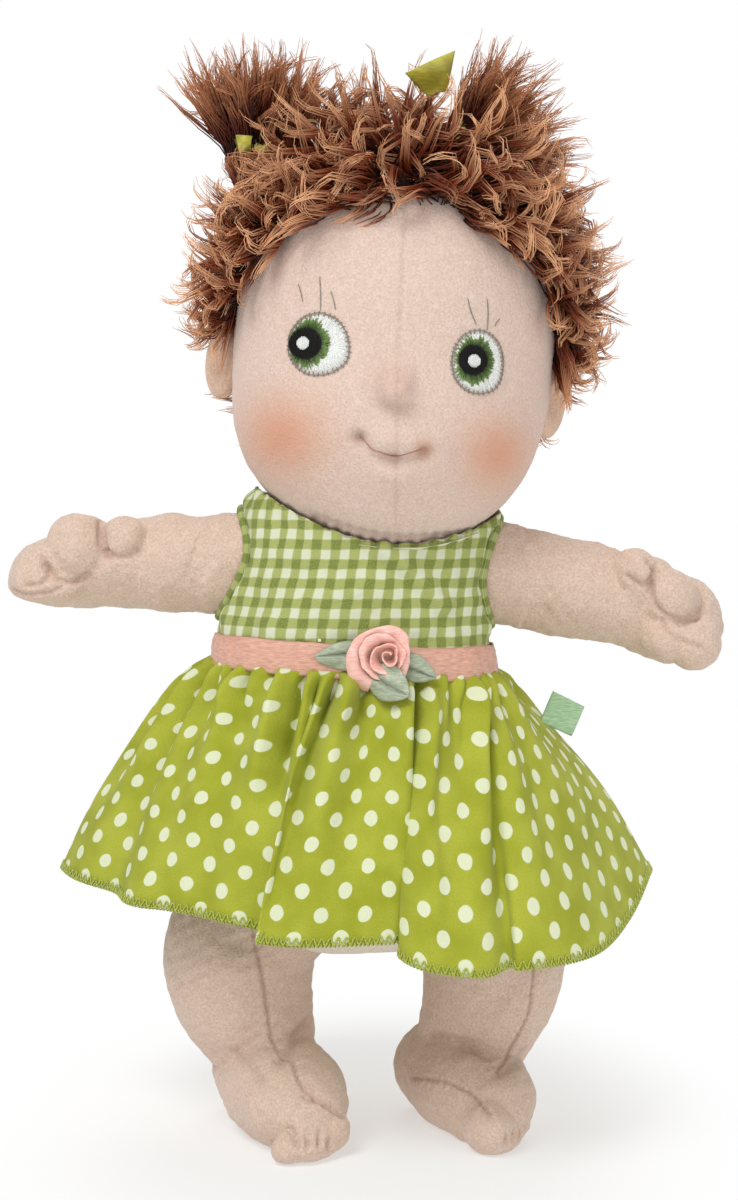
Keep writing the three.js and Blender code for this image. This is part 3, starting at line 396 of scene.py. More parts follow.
def dotted_finish():
    """Lime cotton with printed off-white dots in staggered rows."""
    f = Finish("Dotted_cotton", Roughness=0.8, Sheen_Weight=0.1, Specular_IOR_Level=0.3)
    where = f.cloth_place()
    bent = f.drifted(where, 190.0, 0.0011)
    nearest = None
    for start in (0.0, 0.5):
        cell = f.vector("MULTIPLY_ADD", bent, i1=(1 / DOT_ROW, 1 / DOT_ROW, 0.0), i2=(start, start, 0.0))
        middle = f.vector("SUBTRACT", f.vector("FRACTION", cell), i1=(0.5, 0.5, 0.0))
        x, y, _ = f.parts(middle)
        away = f.vector("LENGTH", f.add("ShaderNodeCombineXYZ", i0=x, i1=y).outputs[0])
        nearest = away if nearest is None else f.math("MINIMUM", nearest, away)
    radius = DOT_RADIUS / DOT_ROW
    dot = f.range(nearest, radius * 1.07, radius * 0.93)
    thread = f.noise(where, 2400.0, 1.0)
    cloud = f.noise(where, 70.0, 2.0)
    body = f.mix(f.range(cloud, 0.3, 0.7), colour(158, 165, 35), colour(180, 186, 60))
    body = f.mix(f.range(thread, 0.35, 0.75, 0.0, 0.35), body, colour(138, 145, 30))
    body = f.mix(f.math("MULTIPLY", dot, 0.94), body, colour(228, 234, 200))
    weave = woven_height(f, where, 0.0005)
    height = f.math("ADD", f.math("ADD", weave, thread), f.math("MULTIPLY", dot, 0.6))
    return f.paint(body, f.bump(height, 0.0001, 0.55))


def satin_finish(name, light, deep):
    """Ribbon with a fine cross rib and a soft satin gloss."""
    f = Finish(name, Roughness=0.36, Specular_IOR_Level=0.55, Anisotropic=0.5, Sheen_Weight=0.1)
    where = f.place()
    streak = f.noise(f.add("ShaderNodeMapping", Vector=where, Scale=(1.0, 1.0, 7.0)).outputs[0], 420.0, 3.0)
    fine = f.noise(f.add("ShaderNodeMapping", Vector=where, Scale=(6.0, 1.0, 1.0)).outputs[0], 900.0, 1.0)
    body = f.mix(f.range(streak, 0.3, 0.72), colour(*deep), colour(*light))
    body = f.mix(f.mark("shade"), body, colour(*[c * 0.72 for c in deep]))
    return f.paint(body, f.bump(f.math("ADD", fine, streak), 0.0002, 0.45))


def thread_finish(name, light, deep, gloss=0.45, shine=0.4, sheen=0.2):
    """Twisted sewing thread, with a fine grain of lighter and darker fibres."""
    f = Finish(name, Roughness=gloss, Specular_IOR_Level=shine, Sheen_Weight=sheen)
    grain = f.noise(f.place(), 3200.0, 1.0)
    body = f.mix(f.range(grain, 0.3, 0.7), colour(*deep), colour(*light))
    return f.paint(body, f.bump(grain, 0.0001, 0.5))


def iris_finish():
    """Green embroidery, darker at the pupil and lighter at the outer ends of its stitches."""
    f = Finish("Iris_thread", Roughness=0.42, Specular_IOR_Level=0.4)
    grain = f.noise(f.place(), 2600.0, 1.0)
    reach = f.math("ADD", f.mark("along"), f.math("MULTIPLY", f.math("SUBTRACT", grain, 0.5), 0.5))
    body = f.ramp(reach, (0.25, colour(14, 22, 8)), (0.55, colour(54, 78, 30)), (1.0, colour(132, 158, 86)))
    return f.paint(body, f.bump(grain, 0.0001, 0.5))


def hair_finish(name, root, middle, tip):
    """Mohair fibres: dark at the root as painted shade between the curls, and light at the tip as painted
    highlight.
    """
    f = Finish(name, Roughness=0.5, Specular_IOR_Level=0.35)
    along = f.mark("along")
    tint = f.mark("tint")
    reach = f.math("ADD", along, f.math("MULTIPLY", f.math("SUBTRACT", tint, 0.5), 0.55))
    body = f.ramp(reach, (0.1, colour(*root)), (0.5, colour(*middle)), (0.97, colour(*tip)))
    return f.paint(body)


def scalp_finish():
    """Dark knitted backing under the pile."""
    f = Finish("Wig_backing", Roughness=0.9, Sheen_Weight=0.2)
    where = f.place()
    knot = f.noise(where, 260.0, 3.0)
    body = f.mix(f.range(knot, 0.3, 0.7), colour(44, 20, 13), colour(82, 44, 29))
    return f.paint(body, f.bump(knot, 0.002, 0.9))


# The prints of the two cottons, in metres
GINGHAM_REPEAT = 0.0056
DOT_ROW = 0.0128
DOT_RADIUS = 0.00212
SKIN = velour_finish("Velour_skin", (230, 208, 196), (212, 186, 170), (214, 132, 82))
LIMB = velour_finish("Velour_limb", (226, 203, 186), (204, 177, 158))
EAR = velour_finish("Velour_ear", (232, 200, 176), (206, 172, 148))
COTTON = velour_finish("Torso_cotton", (240, 234, 216), (226, 217, 195))
GINGHAM = gingham_finish()
DOTTED = dotted_finish()
BELT = satin_finish("Belt_satin", (228, 180, 158), (206, 150, 130))
ROSE = satin_finish("Rose_satin", (255, 212, 200), (244, 178, 164))
LEAF = satin_finish("Leaf_satin", (184, 192, 168), (146, 158, 132))
BOW = satin_finish("Hair_satin", (200, 194, 76), (176, 166, 52))
TAG = satin_finish("Tag_satin", (172, 204, 164), (140, 176, 138))
OVERLOCK = thread_finish("Overlock_thread", (186, 194, 84), (146, 156, 52), 0.6)
WHITE_THREAD = thread_finish("White_thread", (246, 246, 242), (206, 209, 205))
BLACK_THREAD = thread_finish("Black_thread", (30, 28, 26), (9, 8, 8), 0.6, 0.22, 0.0)
GREY_THREAD = thread_finish("Grey_thread", (152, 146, 134), (116, 110, 100), 0.6)
MOUTH_THREAD = thread_finish("Mouth_thread", (196, 138, 116), (168, 108, 90), 0.7)
IRIS_THREAD = iris_finish()
HAIR = hair_finish("Mohair", (40, 9, 3), (136, 60, 28), (242, 186, 140))
# The bunches get a darker copy of the wig's mohair: painted shade
BUNCH_HAIR_SHADED = hair_finish("Mohair_bunch", (26, 5, 2), (100, 38, 19), (206, 142, 100))
SCALP = scalp_finish()


# Geometry node trees
class LineTree(Nodes):
    """A geometry tree that turns lines of points into threads or fibres."""

    def __init__(self, name, sockets):
        super().__init__(bpy.data.node_groups.new(name, "GeometryNodeTree"))
        asked = self.tree.interface
        asked.new_socket("Geometry", in_out="INPUT", socket_type="NodeSocketGeometry")
        for title, kind, value in sockets:
            socket = asked.new_socket(title, in_out="INPUT", socket_type=kind)
            if value is not None:
                socket.default_value = value
        asked.new_socket("Geometry", in_out="OUTPUT", socket_type="NodeSocketGeometry")
        self.start = self.tree.nodes.new("NodeGroupInput")
        self.end = self.tree.nodes.new("NodeGroupOutput")

    def given(self, name):
        return self.start.outputs[name]

    def mix(self, share, a, b):
        return self.add("ShaderNodeMix", {"data_type": "FLOAT"}, i0=share, i2=a, i3=b).outputs[0]

    def chance(self, kind, strand, **limits):
        """A random value for each strand."""
        return self.add("FunctionNodeRandomValue", {"data_type": kind}, ID=strand,
                        Seed=self.given("Seed"), **limits)

    def keep(self, lines, name, value):
        """Stores a value on the points under a name."""
        return self.add("GeometryNodeStoreNamedAttribute", {"data_type": "FLOAT", "domain": "POINT"},
                        Geometry=lines, Name=name, Value=value).outputs[0]

    def rounded(self, lines, thin, sides):
        """Ends the tree: the lines get their thickness and material."""
        size = self.math("MULTIPLY", thin, self.given("Thickness"))
        ring = self.add("GeometryNodeCurvePrimitiveCircle", Resolution=sides, Radius=0.5)
        solid = self.add("GeometryNodeCurveToMesh", Curve=lines, Scale=size,
                         Profile_Curve=ring.outputs["Curve"], Fill_Caps=True)
        smooth = self.add("GeometryNodeSetShadeSmooth", Geometry=solid.outputs[0])
        real = self.add("GeometryNodeRealizeInstances", Geometry=smooth.outputs[0])
        painted = self.add("GeometryNodeSetMaterial", Geometry=real.outputs[0],
                           Material=self.given("Material"))
        self.put(self.end.inputs[0], painted.outputs[0])
        return self.tree


def thread_tree():
    """Lines become round threads that thin out towards their ends."""
    g = LineTree("Thread", [
        ("Thickness", "NodeSocketFloat", 0.0004), ("Sides", "NodeSocketInt", 5),
        ("End Share", "NodeSocketFloat", 0.5), ("Material", "NodeSocketMaterial", None)])
    curve = g.add("GeometryNodeMeshToCurve", Mesh=g.given("Geometry"))
    along = g.add("GeometryNodeSplineParameter").outputs["Factor"]
    kept = g.keep(curve.outputs[0], "along", along)
    near_end = g.math("MULTIPLY", g.math("ABSOLUTE", g.math("SUBTRACT", along, 0.5)), 2.0)
    thin = g.mix(g.math("POWER", near_end, 6.0), 1.0, g.given("End Share"))
    return g.rounded(kept, thin, g.given("Sides"))


def hair_tree():
    """Each guide line becomes a lock of fibres, gathered at the tip, wavy and tapered."""
    g = LineTree("Hair Locks", [
        ("Strands", "NodeSocketInt", 16), ("Lock Width", "NodeSocketFloat", 0.002),
        ("Tip Share", "NodeSocketFloat", 0.3), ("Frizz", "NodeSocketFloat", 0.001),
        ("Frizz Scale", "NodeSocketFloat", 120.0), ("Thickness", "NodeSocketFloat", 0.0004),
        ("Shortest", "NodeSocketFloat", 0.72), ("Seed", "NodeSocketInt", 1),
        ("Material", "NodeSocketMaterial", None)])
    curve = g.add("GeometryNodeMeshToCurve", Mesh=g.given("Geometry"))
    many = g.add("GeometryNodeDuplicateElements", {"domain": "SPLINE"}, Geometry=curve.outputs[0],
                 Amount=g.given("Strands"))
    index = g.add("GeometryNodeInputIndex")
    strand = g.add("GeometryNodeFieldOnDomain", {"domain": "CURVE", "data_type": "INT"},
                   Value=index.outputs[0]).outputs[0]
    length = g.chance("FLOAT", strand, i2=g.given("Shortest"), i3=1.0).outputs[1]
    cut = g.add("GeometryNodeTrimCurve", {"mode": "FACTOR"}, Curve=many.outputs[0], End=length)
    along = g.add("GeometryNodeSplineParameter").outputs["Factor"]
    way = g.chance("FLOAT_VECTOR", strand, i0=(-1, -1, -1), i1=(1, 1, 1)).outputs[0]
    wide = g.math("MULTIPLY", g.mix(along, 1.0, g.given("Tip Share")), g.given("Lock Width"))
    aside = g.vector("SCALE", way, Scale=wide)
    spot = g.vector("ADD", g.add("GeometryNodeInputPosition").outputs[0],
                    i1=g.vector("SCALE", way, Scale=0.02))
    noise = g.add("ShaderNodeTexNoise", Vector=spot, Scale=g.given("Frizz Scale"), Detail=1.0)
    centred = g.vector("SUBTRACT", noise.outputs["Color"], i1=(0.5, 0.5, 0.5))
    frizz = g.vector("SCALE", centred, Scale=g.math("MULTIPLY", along, g.given("Frizz")))
    bent = g.add("GeometryNodeSetPosition", Geometry=cut.outputs[0],
                 Offset=g.vector("ADD", aside, i1=frizz))
    tint = g.chance("FLOAT", strand).outputs[1]
    lock = g.add("GeometryNodeInputNamedAttribute", {"data_type": "FLOAT"}, Name="lock_tint").outputs[0]
    kept = g.keep(bent.outputs[0], "along", along)
    kept = g.keep(kept, "tint", g.mix(0.35, lock, tint))
    thin = g.mix(g.math("POWER", along, 2.0), 1.0, 0.25)
    return g.rounded(kept, thin, HAIR_SIDES)


HAIR_SIDES = 3
THREAD_TREE = thread_tree()
HAIR_TREE = hair_tree()


def grown_from(name, lines, tree, values, marks=None):
    """Runs a geometry tree over lines of points and keeps the result as a plain mesh."""
    edges, count = [], 0
    for line in lines:
        edges += [(count + i, count + i + 1) for i in range(len(line) - 1)]
        count += len(line)
    mesh = bpy.data.meshes.new(name)
    mesh.from_pydata((np.vstack(lines) * MM).tolist(), edges, [])
    set_marks(mesh, marks or {})
    made = new_object(name, mesh)
    modifier = made.modifiers.new(tree.name, "NODES")
    modifier.node_group = tree
    named = {s.name: s.identifier for s in tree.interface.items_tree
             if s.item_type == "SOCKET" and s.in_out == "INPUT"}
    for key, value in values.items():
        modifier[named[key]] = value
    return made_plain(made)


def sewn(name, lines, finish, thickness, sides=5, end_share=0.5):
    """Threads along lines of points."""
    return grown_from(name, lines, THREAD_TREE, {
        "Thickness": thickness * MM, "Sides": sides, "End Share": end_share, "Material": finish})


# Stuffed forms
def through(table, share):
    """Points of a smooth line through a table's rows at shares of its length."""
    table = np.asarray(table, float)
    p = np.vstack([2 * table[0] - table[1], table, 2 * table[-1] - table[-2]])
    x = np.clip(share, 0, 1) * (len(table) - 1)
    i = np.minimum(x.astype(int), len(table) - 2)
    t = (x - i)[:, None]
    return between(p[i], p[i + 1], p[i + 2], p[i + 3], t)


def opening(share, squareness):
    """How far a rounded end has opened at a share of the way into it."""
    left = 1 - np.clip(share, 0, 1)
    return np.power(1 - np.power(left, squareness), 1 / squareness)


def stuffed_point(stations, share, angle, front=(0, -1, 0), caps=(0.12, 0.16), squareness=2.0, plan=2.0,
                  twist=0.0, grow=0.0):
    """Points on an oval form strung along a spine; a station is x, y, z, half width, half depth."""
    stations = np.asarray(stations, float)
    share = np.clip(np.asarray(share, float), 0, 1)
    spot = through(stations, share)
    step = 0.002
    ahead = through(stations[:, :3], share + step)
    behind = through(stations[:, :3], share - step)
    along = unit(ahead - behind)
    forward = np.broadcast_to(np.asarray(front, float), along.shape)
    deep = unit(forward - (forward * along).sum(-1, keepdims=True) * along)
    turn = np.radians(twist) * share[:, None]
    deep = deep * np.cos(turn) + np.cross(along, deep) * np.sin(turn)
    wide = unit(np.cross(deep, along))
    open_share = opening(share / caps[0], squareness) * opening((1 - share) / caps[1], squareness)
    back = np.maximum(0, 1 - share / caps[0])
    on = np.maximum(0, 1 - (1 - share) / caps[1])
    middle = spot[:, :3] + along * (grow * (on - back))[:, None]
    across = np.sign(np.cos(angle)) * np.abs(np.cos(angle)) ** (2 / plan)
    deepness = np.sign(np.sin(angle)) * np.abs(np.sin(angle)) ** (2 / plan)
    return (middle + wide * (across * (spot[:, 3] + grow) * open_share)[:, None]
            + deep * (deepness * (spot[:, 4] + grow) * open_share)[:, None])


def stuffed(stations, rings=40, sides=40, **shape):
    """A closed stuffed form as points and faces."""
    caps = shape.get("caps", (0.12, 0.16))
    turn = np.radians(np.linspace(0, 90, 9)[1:])
    shares = np.concatenate([caps[0] * (1 - np.cos(turn)),
                             caps[0] + (1 - caps[0] - caps[1]) * np.arange(1, rings) / rings,
                             1 - caps[1] * (1 - np.cos(turn[::-1]))])
    angles = ring_angles(sides)
    grid = stuffed_point(stations, np.repeat(shares, sides), np.tile(angles, len(shares)), **shape)
    ends = stuffed_point(stations, np.array([0.0, 1.0]), np.array([0.0, 0.0]), **shape)
    points = np.vstack([grid, ends])
    faces = grid_faces(len(shares), sides, closed=True).tolist()
    first, last = len(grid), len(grid) + 1
    top = (len(shares) - 1) * sides
    for i in range(sides):
        n = (i + 1) % sides
        faces.append((first, n, i))
        faces.append((last, top + i, top + n))
    return points, faces


def ball_form(centre, radii, rings=14, sides=20):
    """A closed egg as points and faces."""
    up = np.linspace(0, math.pi, rings + 1)[1:-1]
    a, b = np.meshgrid(up, ring_angles(sides), indexing="ij")
    way = np.stack([np.sin(a) * np.cos(b), np.sin(a) * np.sin(b), np.cos(a)], -1).reshape(-1, 3)
    points = np.vstack([way, [[0, 0, 1], [0, 0, -1]]]) * radii + centre
    faces = grid_faces(rings - 1, sides, closed=True).tolist()
    last = (rings - 2) * sides
    for i in range(sides):
        n = (i + 1) % sides
        faces.append((len(way), i, n))
        faces.append((len(way) + 1, last + n, last + i))
    return points, faces


def soft_union(name, forms, voxel, finish, smoothing=3):
    """Several closed forms grown together into one soft skin."""
    points, faces, count = [], [], 0
    for p, f in forms:
        points.append(p)
        faces += [tuple(i + count for i in face) for face in f]
        count += len(p)
    made = piece(name, np.vstack(points), faces, finish)
    add_modifier(made, "REMESH", mode="VOXEL", voxel_size=voxel * MM)
    made_plain(made)
    add_modifier(made, "SMOOTH", factor=0.5, iterations=smoothing)
    return made_plain(made)


# The filling is simulated at ten times the size, on these settings
SIM_SCALE = 10.0
SIM_FRAMES = 14
SEAM_REACH = 1.6
CLOTH = dict(quality=6, mass=0.2, tension_stiffness=18, compression_stiffness=18, shear_stiffness=6,
             bending_stiffness=0.4, use_pressure=True, shrink_min=0.0, vertex_group_shrink="seam",
             vertex_group_mass="hold")


def puffed(made, seams, hold, pull=0.1, pressure=3.0, limit=1.3, swell=0.0):
    """Fills the sewn skin: seams draw in and the cloth between them swells and puckers."""
    rest = where(made)
    normals = outward(made)
    free = 1 - np.clip(hold(rest), 0, 1)
    copy = made.copy()
    copy.data = made.data.copy()
    bpy.context.collection.objects.link(copy)
    put(copy, rest * SIM_SCALE)
    near = np.full(len(rest), 1e9)
    for line in seams:
        near = np.minimum(near, distance_to_line(rest, line))
    for key, weight in (("seam", np.exp(-(near / SEAM_REACH) ** 2)), ("hold", hold(rest))):
        group = copy.vertex_groups.new(name=key)
        for i in np.nonzero(weight > 0.02)[0]:
            group.add([int(i)], float(weight[i]), "REPLACE")
    modifier = copy.modifiers.new("Cloth", "CLOTH")
    for key, value in CLOTH.items():
        setattr(modifier.settings, key, value)
    modifier.settings.uniform_pressure_force = pressure
    modifier.settings.effector_weights.gravity = 0
    modifier.settings.shrink_max = pull
    modifier.collision_settings.use_collision = False
    modifier.point_cache.frame_end = SIM_FRAMES
    scene = bpy.context.scene
    for frame_number in range(1, SIM_FRAMES + 1):
        scene.frame_set(frame_number)
    graph = bpy.context.evaluated_depsgraph_get()
    moved_to = where(copy.evaluated_get(graph)) / SIM_SCALE
    move = moved_to - rest
    length = np.linalg.norm(move, axis=1, keepdims=True)
    move *= np.minimum(1, limit / np.maximum(length, 1e-6))
    rise = ((move * normals).sum(1) * free).sum() / free.sum()
    put(made, rest + move + normals * ((swell - rise) * free)[:, None])
    scene.frame_set(1)
    bpy.data.objects.remove(copy)


def finer(made):
    """Cuts each face of a skin into four and rounds it."""
    add_modifier(made, "SUBSURF", levels=1, render_levels=1)
    made_plain(made)


def worked(made, seams, creases, seed, lumps=0.35, tuck=0.24):
    """Sewn lines pressed into the skin, puckers beside them, a soft uneven filling, and painted shade along
    the seams and in the creases.
    """
    points, normals = where(made), outward(made)
    move = lumps * wobble(points, 14.0, seed) + lumps * 0.35 * wobble(points, 5.0, seed + 1)
    shade = np.zeros(len(points))
    tug = wobble(points, 2.4, seed + 2)
    for line in seams:
        far = distance_to_line(points, line)
        move += -0.6 * np.exp(-(far / 0.7) ** 2) + tuck * tug * np.exp(-(far / 2.4) ** 2)
        shade = np.maximum(shade, 0.5 * np.exp(-(far / 0.55) ** 2))
    for line, depth, width in creases:
        far = distance_to_line(points, line)
        move += -depth * np.exp(-(far / width) ** 2)
        shade = np.maximum(shade, 0.22 * np.exp(-(far / (0.7 * width)) ** 2))
    put(made, points + normals * move[:, None])
    set_marks(made.data, {"shade": shade})


def turned(points, matrix, origin):
    """Points turned by a matrix and moved to an origin."""
    return points @ matrix.T + origin


def about_y(degrees):
    a = math.radians(degrees)
    return np.array([[math.cos(a), 0, math.sin(a)], [0, 1, 0], [-math.sin(a), 0, math.cos(a)]])


def about_z(degrees):
    a = math.radians(degrees)
    return np.array([[math.cos(a), -math.sin(a), 0], [math.sin(a), math.cos(a), 0], [0, 0, 1]])


ROLL = about_y(math.degrees(HEAD_ROLL))


def head_radius(way):
    """Distance from the head's middle to its skin in each unit direction."""
    tall = np.where(way[:, 2] > 0, HEAD_ABOVE, HEAD_BELOW)
    flat = (way[:, 0] / HEAD_W) ** 2 + (way[:, 1] / HEAD_D) ** 2
    return (flat ** (HEAD_FULL / 2) + np.abs(way[:, 2] / tall) ** HEAD_FULL) ** (-1 / HEAD_FULL)


# Places in the picture: where its lens stands and how it looks down, in pixels of the photo
LENS_PLACE = np.array([0.9, -620.0, 192.0])
LENS_DROP = math.radians(3.2)
PICTURE_MIDDLE = (369.0, 600.0)
PICTURE_FOCUS = 2080.0
PICTURE_HIGH = 1200


def sight_line(px, py):
    """The way from the lens through a picture position."""
    a, b = (px - PICTURE_MIDDLE[0]) / PICTURE_FOCUS, (py - PICTURE_MIDDLE[1]) / PICTURE_FOCUS
    return np.array([a, math.cos(LENS_DROP) - b * math.sin(LENS_DROP),
                     -math.sin(LENS_DROP) - b * math.cos(LENS_DROP)])


def picture_point(px, py, depth):
    """The point at a depth that shows at a picture position."""
    way = sight_line(px, py)
    return LENS_PLACE + way * (depth - LENS_PLACE[1]) / way[1]


def picture_to_head(px, py, depth):
    """A picture position at a depth, measured from the head's middle and along its own axes."""
    return ROLL.T @ (picture_point(px, py, depth) - HEAD_MIDDLE)


def seen_on(made, spots):
    """A line on a piece's skin that shows along these picture positions."""
    line = []
    for px, py in curve_through(np.array(spots, float), 8):
        way = sight_line(px, py)
        hit, spot, _, _ = made.ray_cast(tuple(LENS_PLACE * MM), tuple(unit(way)))
        if hit:
            line.append(np.array(spot) / MM)
    return np.array(line)


# Torso and neck
TORSO_SPAN = TORSO_TOP - TORSO_BOTTOM
TORSO_STATIONS = [
    (SHIFT[0] + TORSO_LEAN * lean, SHIFT[1], TORSO_BOTTOM + share * TORSO_SPAN,
     TORSO_W * wide, TORSO_D * deep)
    for share, lean, wide, deep in zip(
        [0, 0.14, 0.33, 0.52, 0.63, 0.78, 0.88, 1], [0, -0.2, -0.7, -1, -1, -0.35, 0.07, 0.23],
        [0.88, 0.98, 1, 0.99, 0.97, 0.89, 0.9, 0.88], [0.71, 0.87, 1, 0.98, 0.97, 0.87, 0.8, 0.65])]
TORSO_SHAPE = dict(front=(0, -1, 0), caps=(0.12, 0.16), squareness=3.0, plan=TORSO_PLAN)
FINE = np.linspace(0, 1, 400)
FINE_Z = through(TORSO_STATIONS, FINE)[:, 2]


def on_torso(angle, z, grow):
    """Points of the torso's skin, moved out by grow; angle 90 degrees is the front."""
    asked = np.asarray(z, float)
    for _ in range(4):
        p = stuffed_point(TORSO_STATIONS, np.interp(asked, FINE_Z, FINE), angle, grow=grow, **TORSO_SHAPE)
        asked = asked + z - p[:, 2]
    return p


def under_head(points, gap):
    """Presses the places that the head sits on down to its underside."""
    local = (points - HEAD_MIDDLE) @ ROLL
    reach = np.linalg.norm(local, axis=1)
    way = local / reach[:, None]
    skin = way * head_radius(way)[:, None]
    chin = CHIN * hump(skin[:, 0], skin[:, 2], 4, -50, 21, 8) * smooth_step(4, -14, skin[:, 1])
    low = head_radius(way) + chin + gap
    return turned(way * np.maximum(reach, low)[:, None], ROLL, HEAD_MIDDLE)


def build_torso():
    seam_z = np.linspace(60, 186, 40)
    lines = [on_torso(np.full(40, math.radians(side)), seam_z, 0.0) for side in (2, 178, 270)]
    made = soft_union("Torso_skin", [stuffed(TORSO_STATIONS, 46, 64, **TORSO_SHAPE)], 2.0, COTTON, 2)
    puffed(made, lines, lambda p: smooth_step(150, 175, p[:, 2]), pull=0.12, pressure=2.0, limit=0.7)
    worked(made, lines, [], 21, 0.2)
    put(made, under_head(where(made), 2.8))
    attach(made, "trunk")
    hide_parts("torso")


def build_neck():
    up = np.array([0.0958, 0, 0.9954])
    stations = [(*(NECK + up * height), radius, radius)
                for height, radius in ((-11, 10.5), (-2, 11.5), (8, 9.6), (18, 9.0), (25, 9.4))]
    made = soft_union("Neck_skin", [stuffed(stations, 24, 40, caps=(0.25, 0.1))], 1.5, SKIN, 2)
    line = NECK + up * np.linspace(-8, 24, 12)[:, None] + [0, 10.0, 0]
    puffed(made, [line], lambda p: smooth_step(186, 190, p[:, 2]), pull=0.1, pressure=2.0, limit=0.5)
    finer(made)
    worked(made, [line], [], 31, 0.2)
    set_marks(made.data, {"blush": np.zeros(len(made.data.vertices))})
    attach(made, "neck_body")
    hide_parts("neck")


# Arms
# Stations as shares: place along the arm, bend upwards, width and thickness
ARM_STATIONS = list(zip(
    [-ARM_ROOT / ARM_LENGTH, 0, 0.2, 0.4, 0.58, 0.7, 0.85, 1], [0, 0, 0, 0.01, 0.01, 0, -0.02, -0.06],
    [1, 1, 0.98, 0.95, 0.86, 0.88, 0.86, 0.66], [1, 1, 0.98, 0.95, 0.82, 0.68, 0.62, 0.5]))
ARM_TWIST = {"right": 75, "left": 0}
# Stuffed lumps of the hands: middle from the shoulder and half sizes
HAND_LOBES = {"right": [((50, -8.5, 7), (8.0, 6.6, 9.0)), ((36, -9, 8.5), (5.6, 4.6, 4.8)),
                        ((61.5, -7.5, -2.5), (6.6, 5.4, 6.6)), ((55, -8, -4), (6.5, 4.6, 4.6))],
              "left": [((41, -9, 10.5), (5.6, 5.2, 6.0)), ((53, -8, 5.4), (7.4, 6.6, 7.8)),
                       ((63.5, -7, -5.5), (7.0, 6.2, 8.6)), ((55, -8, -6.5), (6.8, 5, 5.8))]}
# Picture positions, depth and width of the folds in the hands
HAND_CREASES = {
    "right": [([(101, 516), (101, 530), (104, 545), (108, 556)], 1.9, 1.2),
              ([(106, 552), (122, 557), (138, 549)], 0.9, 1.1),
              ([(45, 566), (57, 578), (74, 582), (88, 574)], 1.4, 1.1),
              ([(16, 590), (28, 595), (48, 593), (61, 588)], 0.9, 0.9),
              ([(40, 556), (50, 570), (43, 583), (28, 586)], 0.9, 0.9)],
    "left": [([(649, 562), (654, 574), (641, 585), (627, 577)], 1.5, 1.1),
             ([(655, 571), (651, 589), (658, 611), (680, 621), (698, 615)], 1.4, 1.1),
             ([(696, 618), (704, 601), (700, 588)], 1.0, 1.0),
             ([(662, 622), (677, 638), (700, 648)], 0.8, 1.0)]}


def build_arm(name):
    side = SIDES[name]
    stations = [(side * along * ARM_LENGTH, 0, bend * ARM_LENGTH, ARM_ROOT * wide, ARM_ROOT * 0.88 * thick)
                for along, bend, wide, thick in ARM_STATIONS]
    shape = dict(front=(0, -1, 0), caps=(1 / 7, 1 / 7), twist=side * ARM_TWIST[name])
    forms = [stuffed(stations, 36, 44, **shape)]
    thumb_root = ARM_LENGTH * 0.55
    thumb = [(side * (thumb_root + out), -fore, up, r, r)
             for out, fore, up, r in ((0, 5.4, -1, 5.8), (5.4, 6.1, 7.0, 5.6), (11.2, 6.2, 14.6, 5.0))]
    forms.append(stuffed(thumb, 14, 24, caps=(0.3, 0.35)))
    forms += [ball_form(np.array(spot) * [side, 1, 1], radii) for spot, radii in HAND_LOBES[name]]
    spin = about_y(side * ARM_DROOP[name])
    root = np.array([side * SHOULDER_REACH, 0, SHOULDER_Z[name]]) + SHIFT
    forms = [(turned(p, spin, root), f) for p, f in forms]
    if name == "right":
        forms.append(ball_form(picture_point(121, 537, -10.0), (6.2, 5.4, 5.6)))
    made = soft_union(f"{name.title()}_arm_skin", forms, 1.1, LIMB, 3)
    spread = np.linspace(0.16, 0.97, 40)
    lines = []
    for edge in (0, math.pi):
        around = edge - side * np.radians(shape["twist"] * spread) * side
        lines.append(turned(stuffed_point(stations, spread, around, **shape), spin, root))
    puffed(made, lines, lambda p: 1 - smooth_step(2, 12, side * (p[:, 0] - root[0])), pull=0.14, swell=0.5)
    finer(made)
    creases = [(seen_on(made, spots), depth, width) for spots, depth, width in HAND_CREASES[name]]
    worked(made, lines, creases, 41 if name == "right" else 47, tuck=0.1)
    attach(made, f"{name}_arm_body")
    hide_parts(f"{name}_arm")


# Legs
# Where each foot points and how long it is; shares of width at the foot's and the leg's stations
LEG_WAY = {"right": dict(heading=19, long=1.0, inward=0.0, setback=(0.14, 0.03),
                         foot=[0.85, 0.94, 1.05, 1.2, 1.02, 0.62],
                         out=[0, 0, 0.09, 0.135, 0.114, 0.05, 0.007],
                         wide=[0.958, 0.97, 1, 1.01, 0.95, 0.77, 0.66]),
           "left": dict(heading=24, long=0.76, inward=0.24, setback=(0.03, 0.24),
                        foot=[0.82, 0.96, 1.1, 1.12, 0.94, 0.66],
                        out=[0, 0, 0.08, 0.115, 0.09, 0.042, 0.008],
                        wide=[0.958, 0.95, 0.96, 0.94, 0.87, 0.74, 0.66])}
LEG_DROP = [0.294, 0, -0.15, -0.29, -0.45, -0.62, -0.78]
LEG_DEEP = [1, 1, 1, 1, 0.92, 0.75, 0.69]
THIGH, THIGH_DEEP = 21.5, 20.6
FOOT_LENGTH, FOOT_W, FOOT_H, SOLE = 60.0, 14.2, 13.0, 0.5
FOOT_ALONG = [0.37, 0.2, 0, -0.25, -0.5, -0.74]
FOOT_HIGH = [0.95, 1.05, 1.12, 1.04, 0.85, 0.62]
TOES, BIG_TOE = 5, 6.2
# The fold between two toes, from the place where they touch
TOE_GAP = np.array([[0, -9, -4], [0, -7.5, 1], [0, -3, 4.6], [0, 3.5, 6.2]])
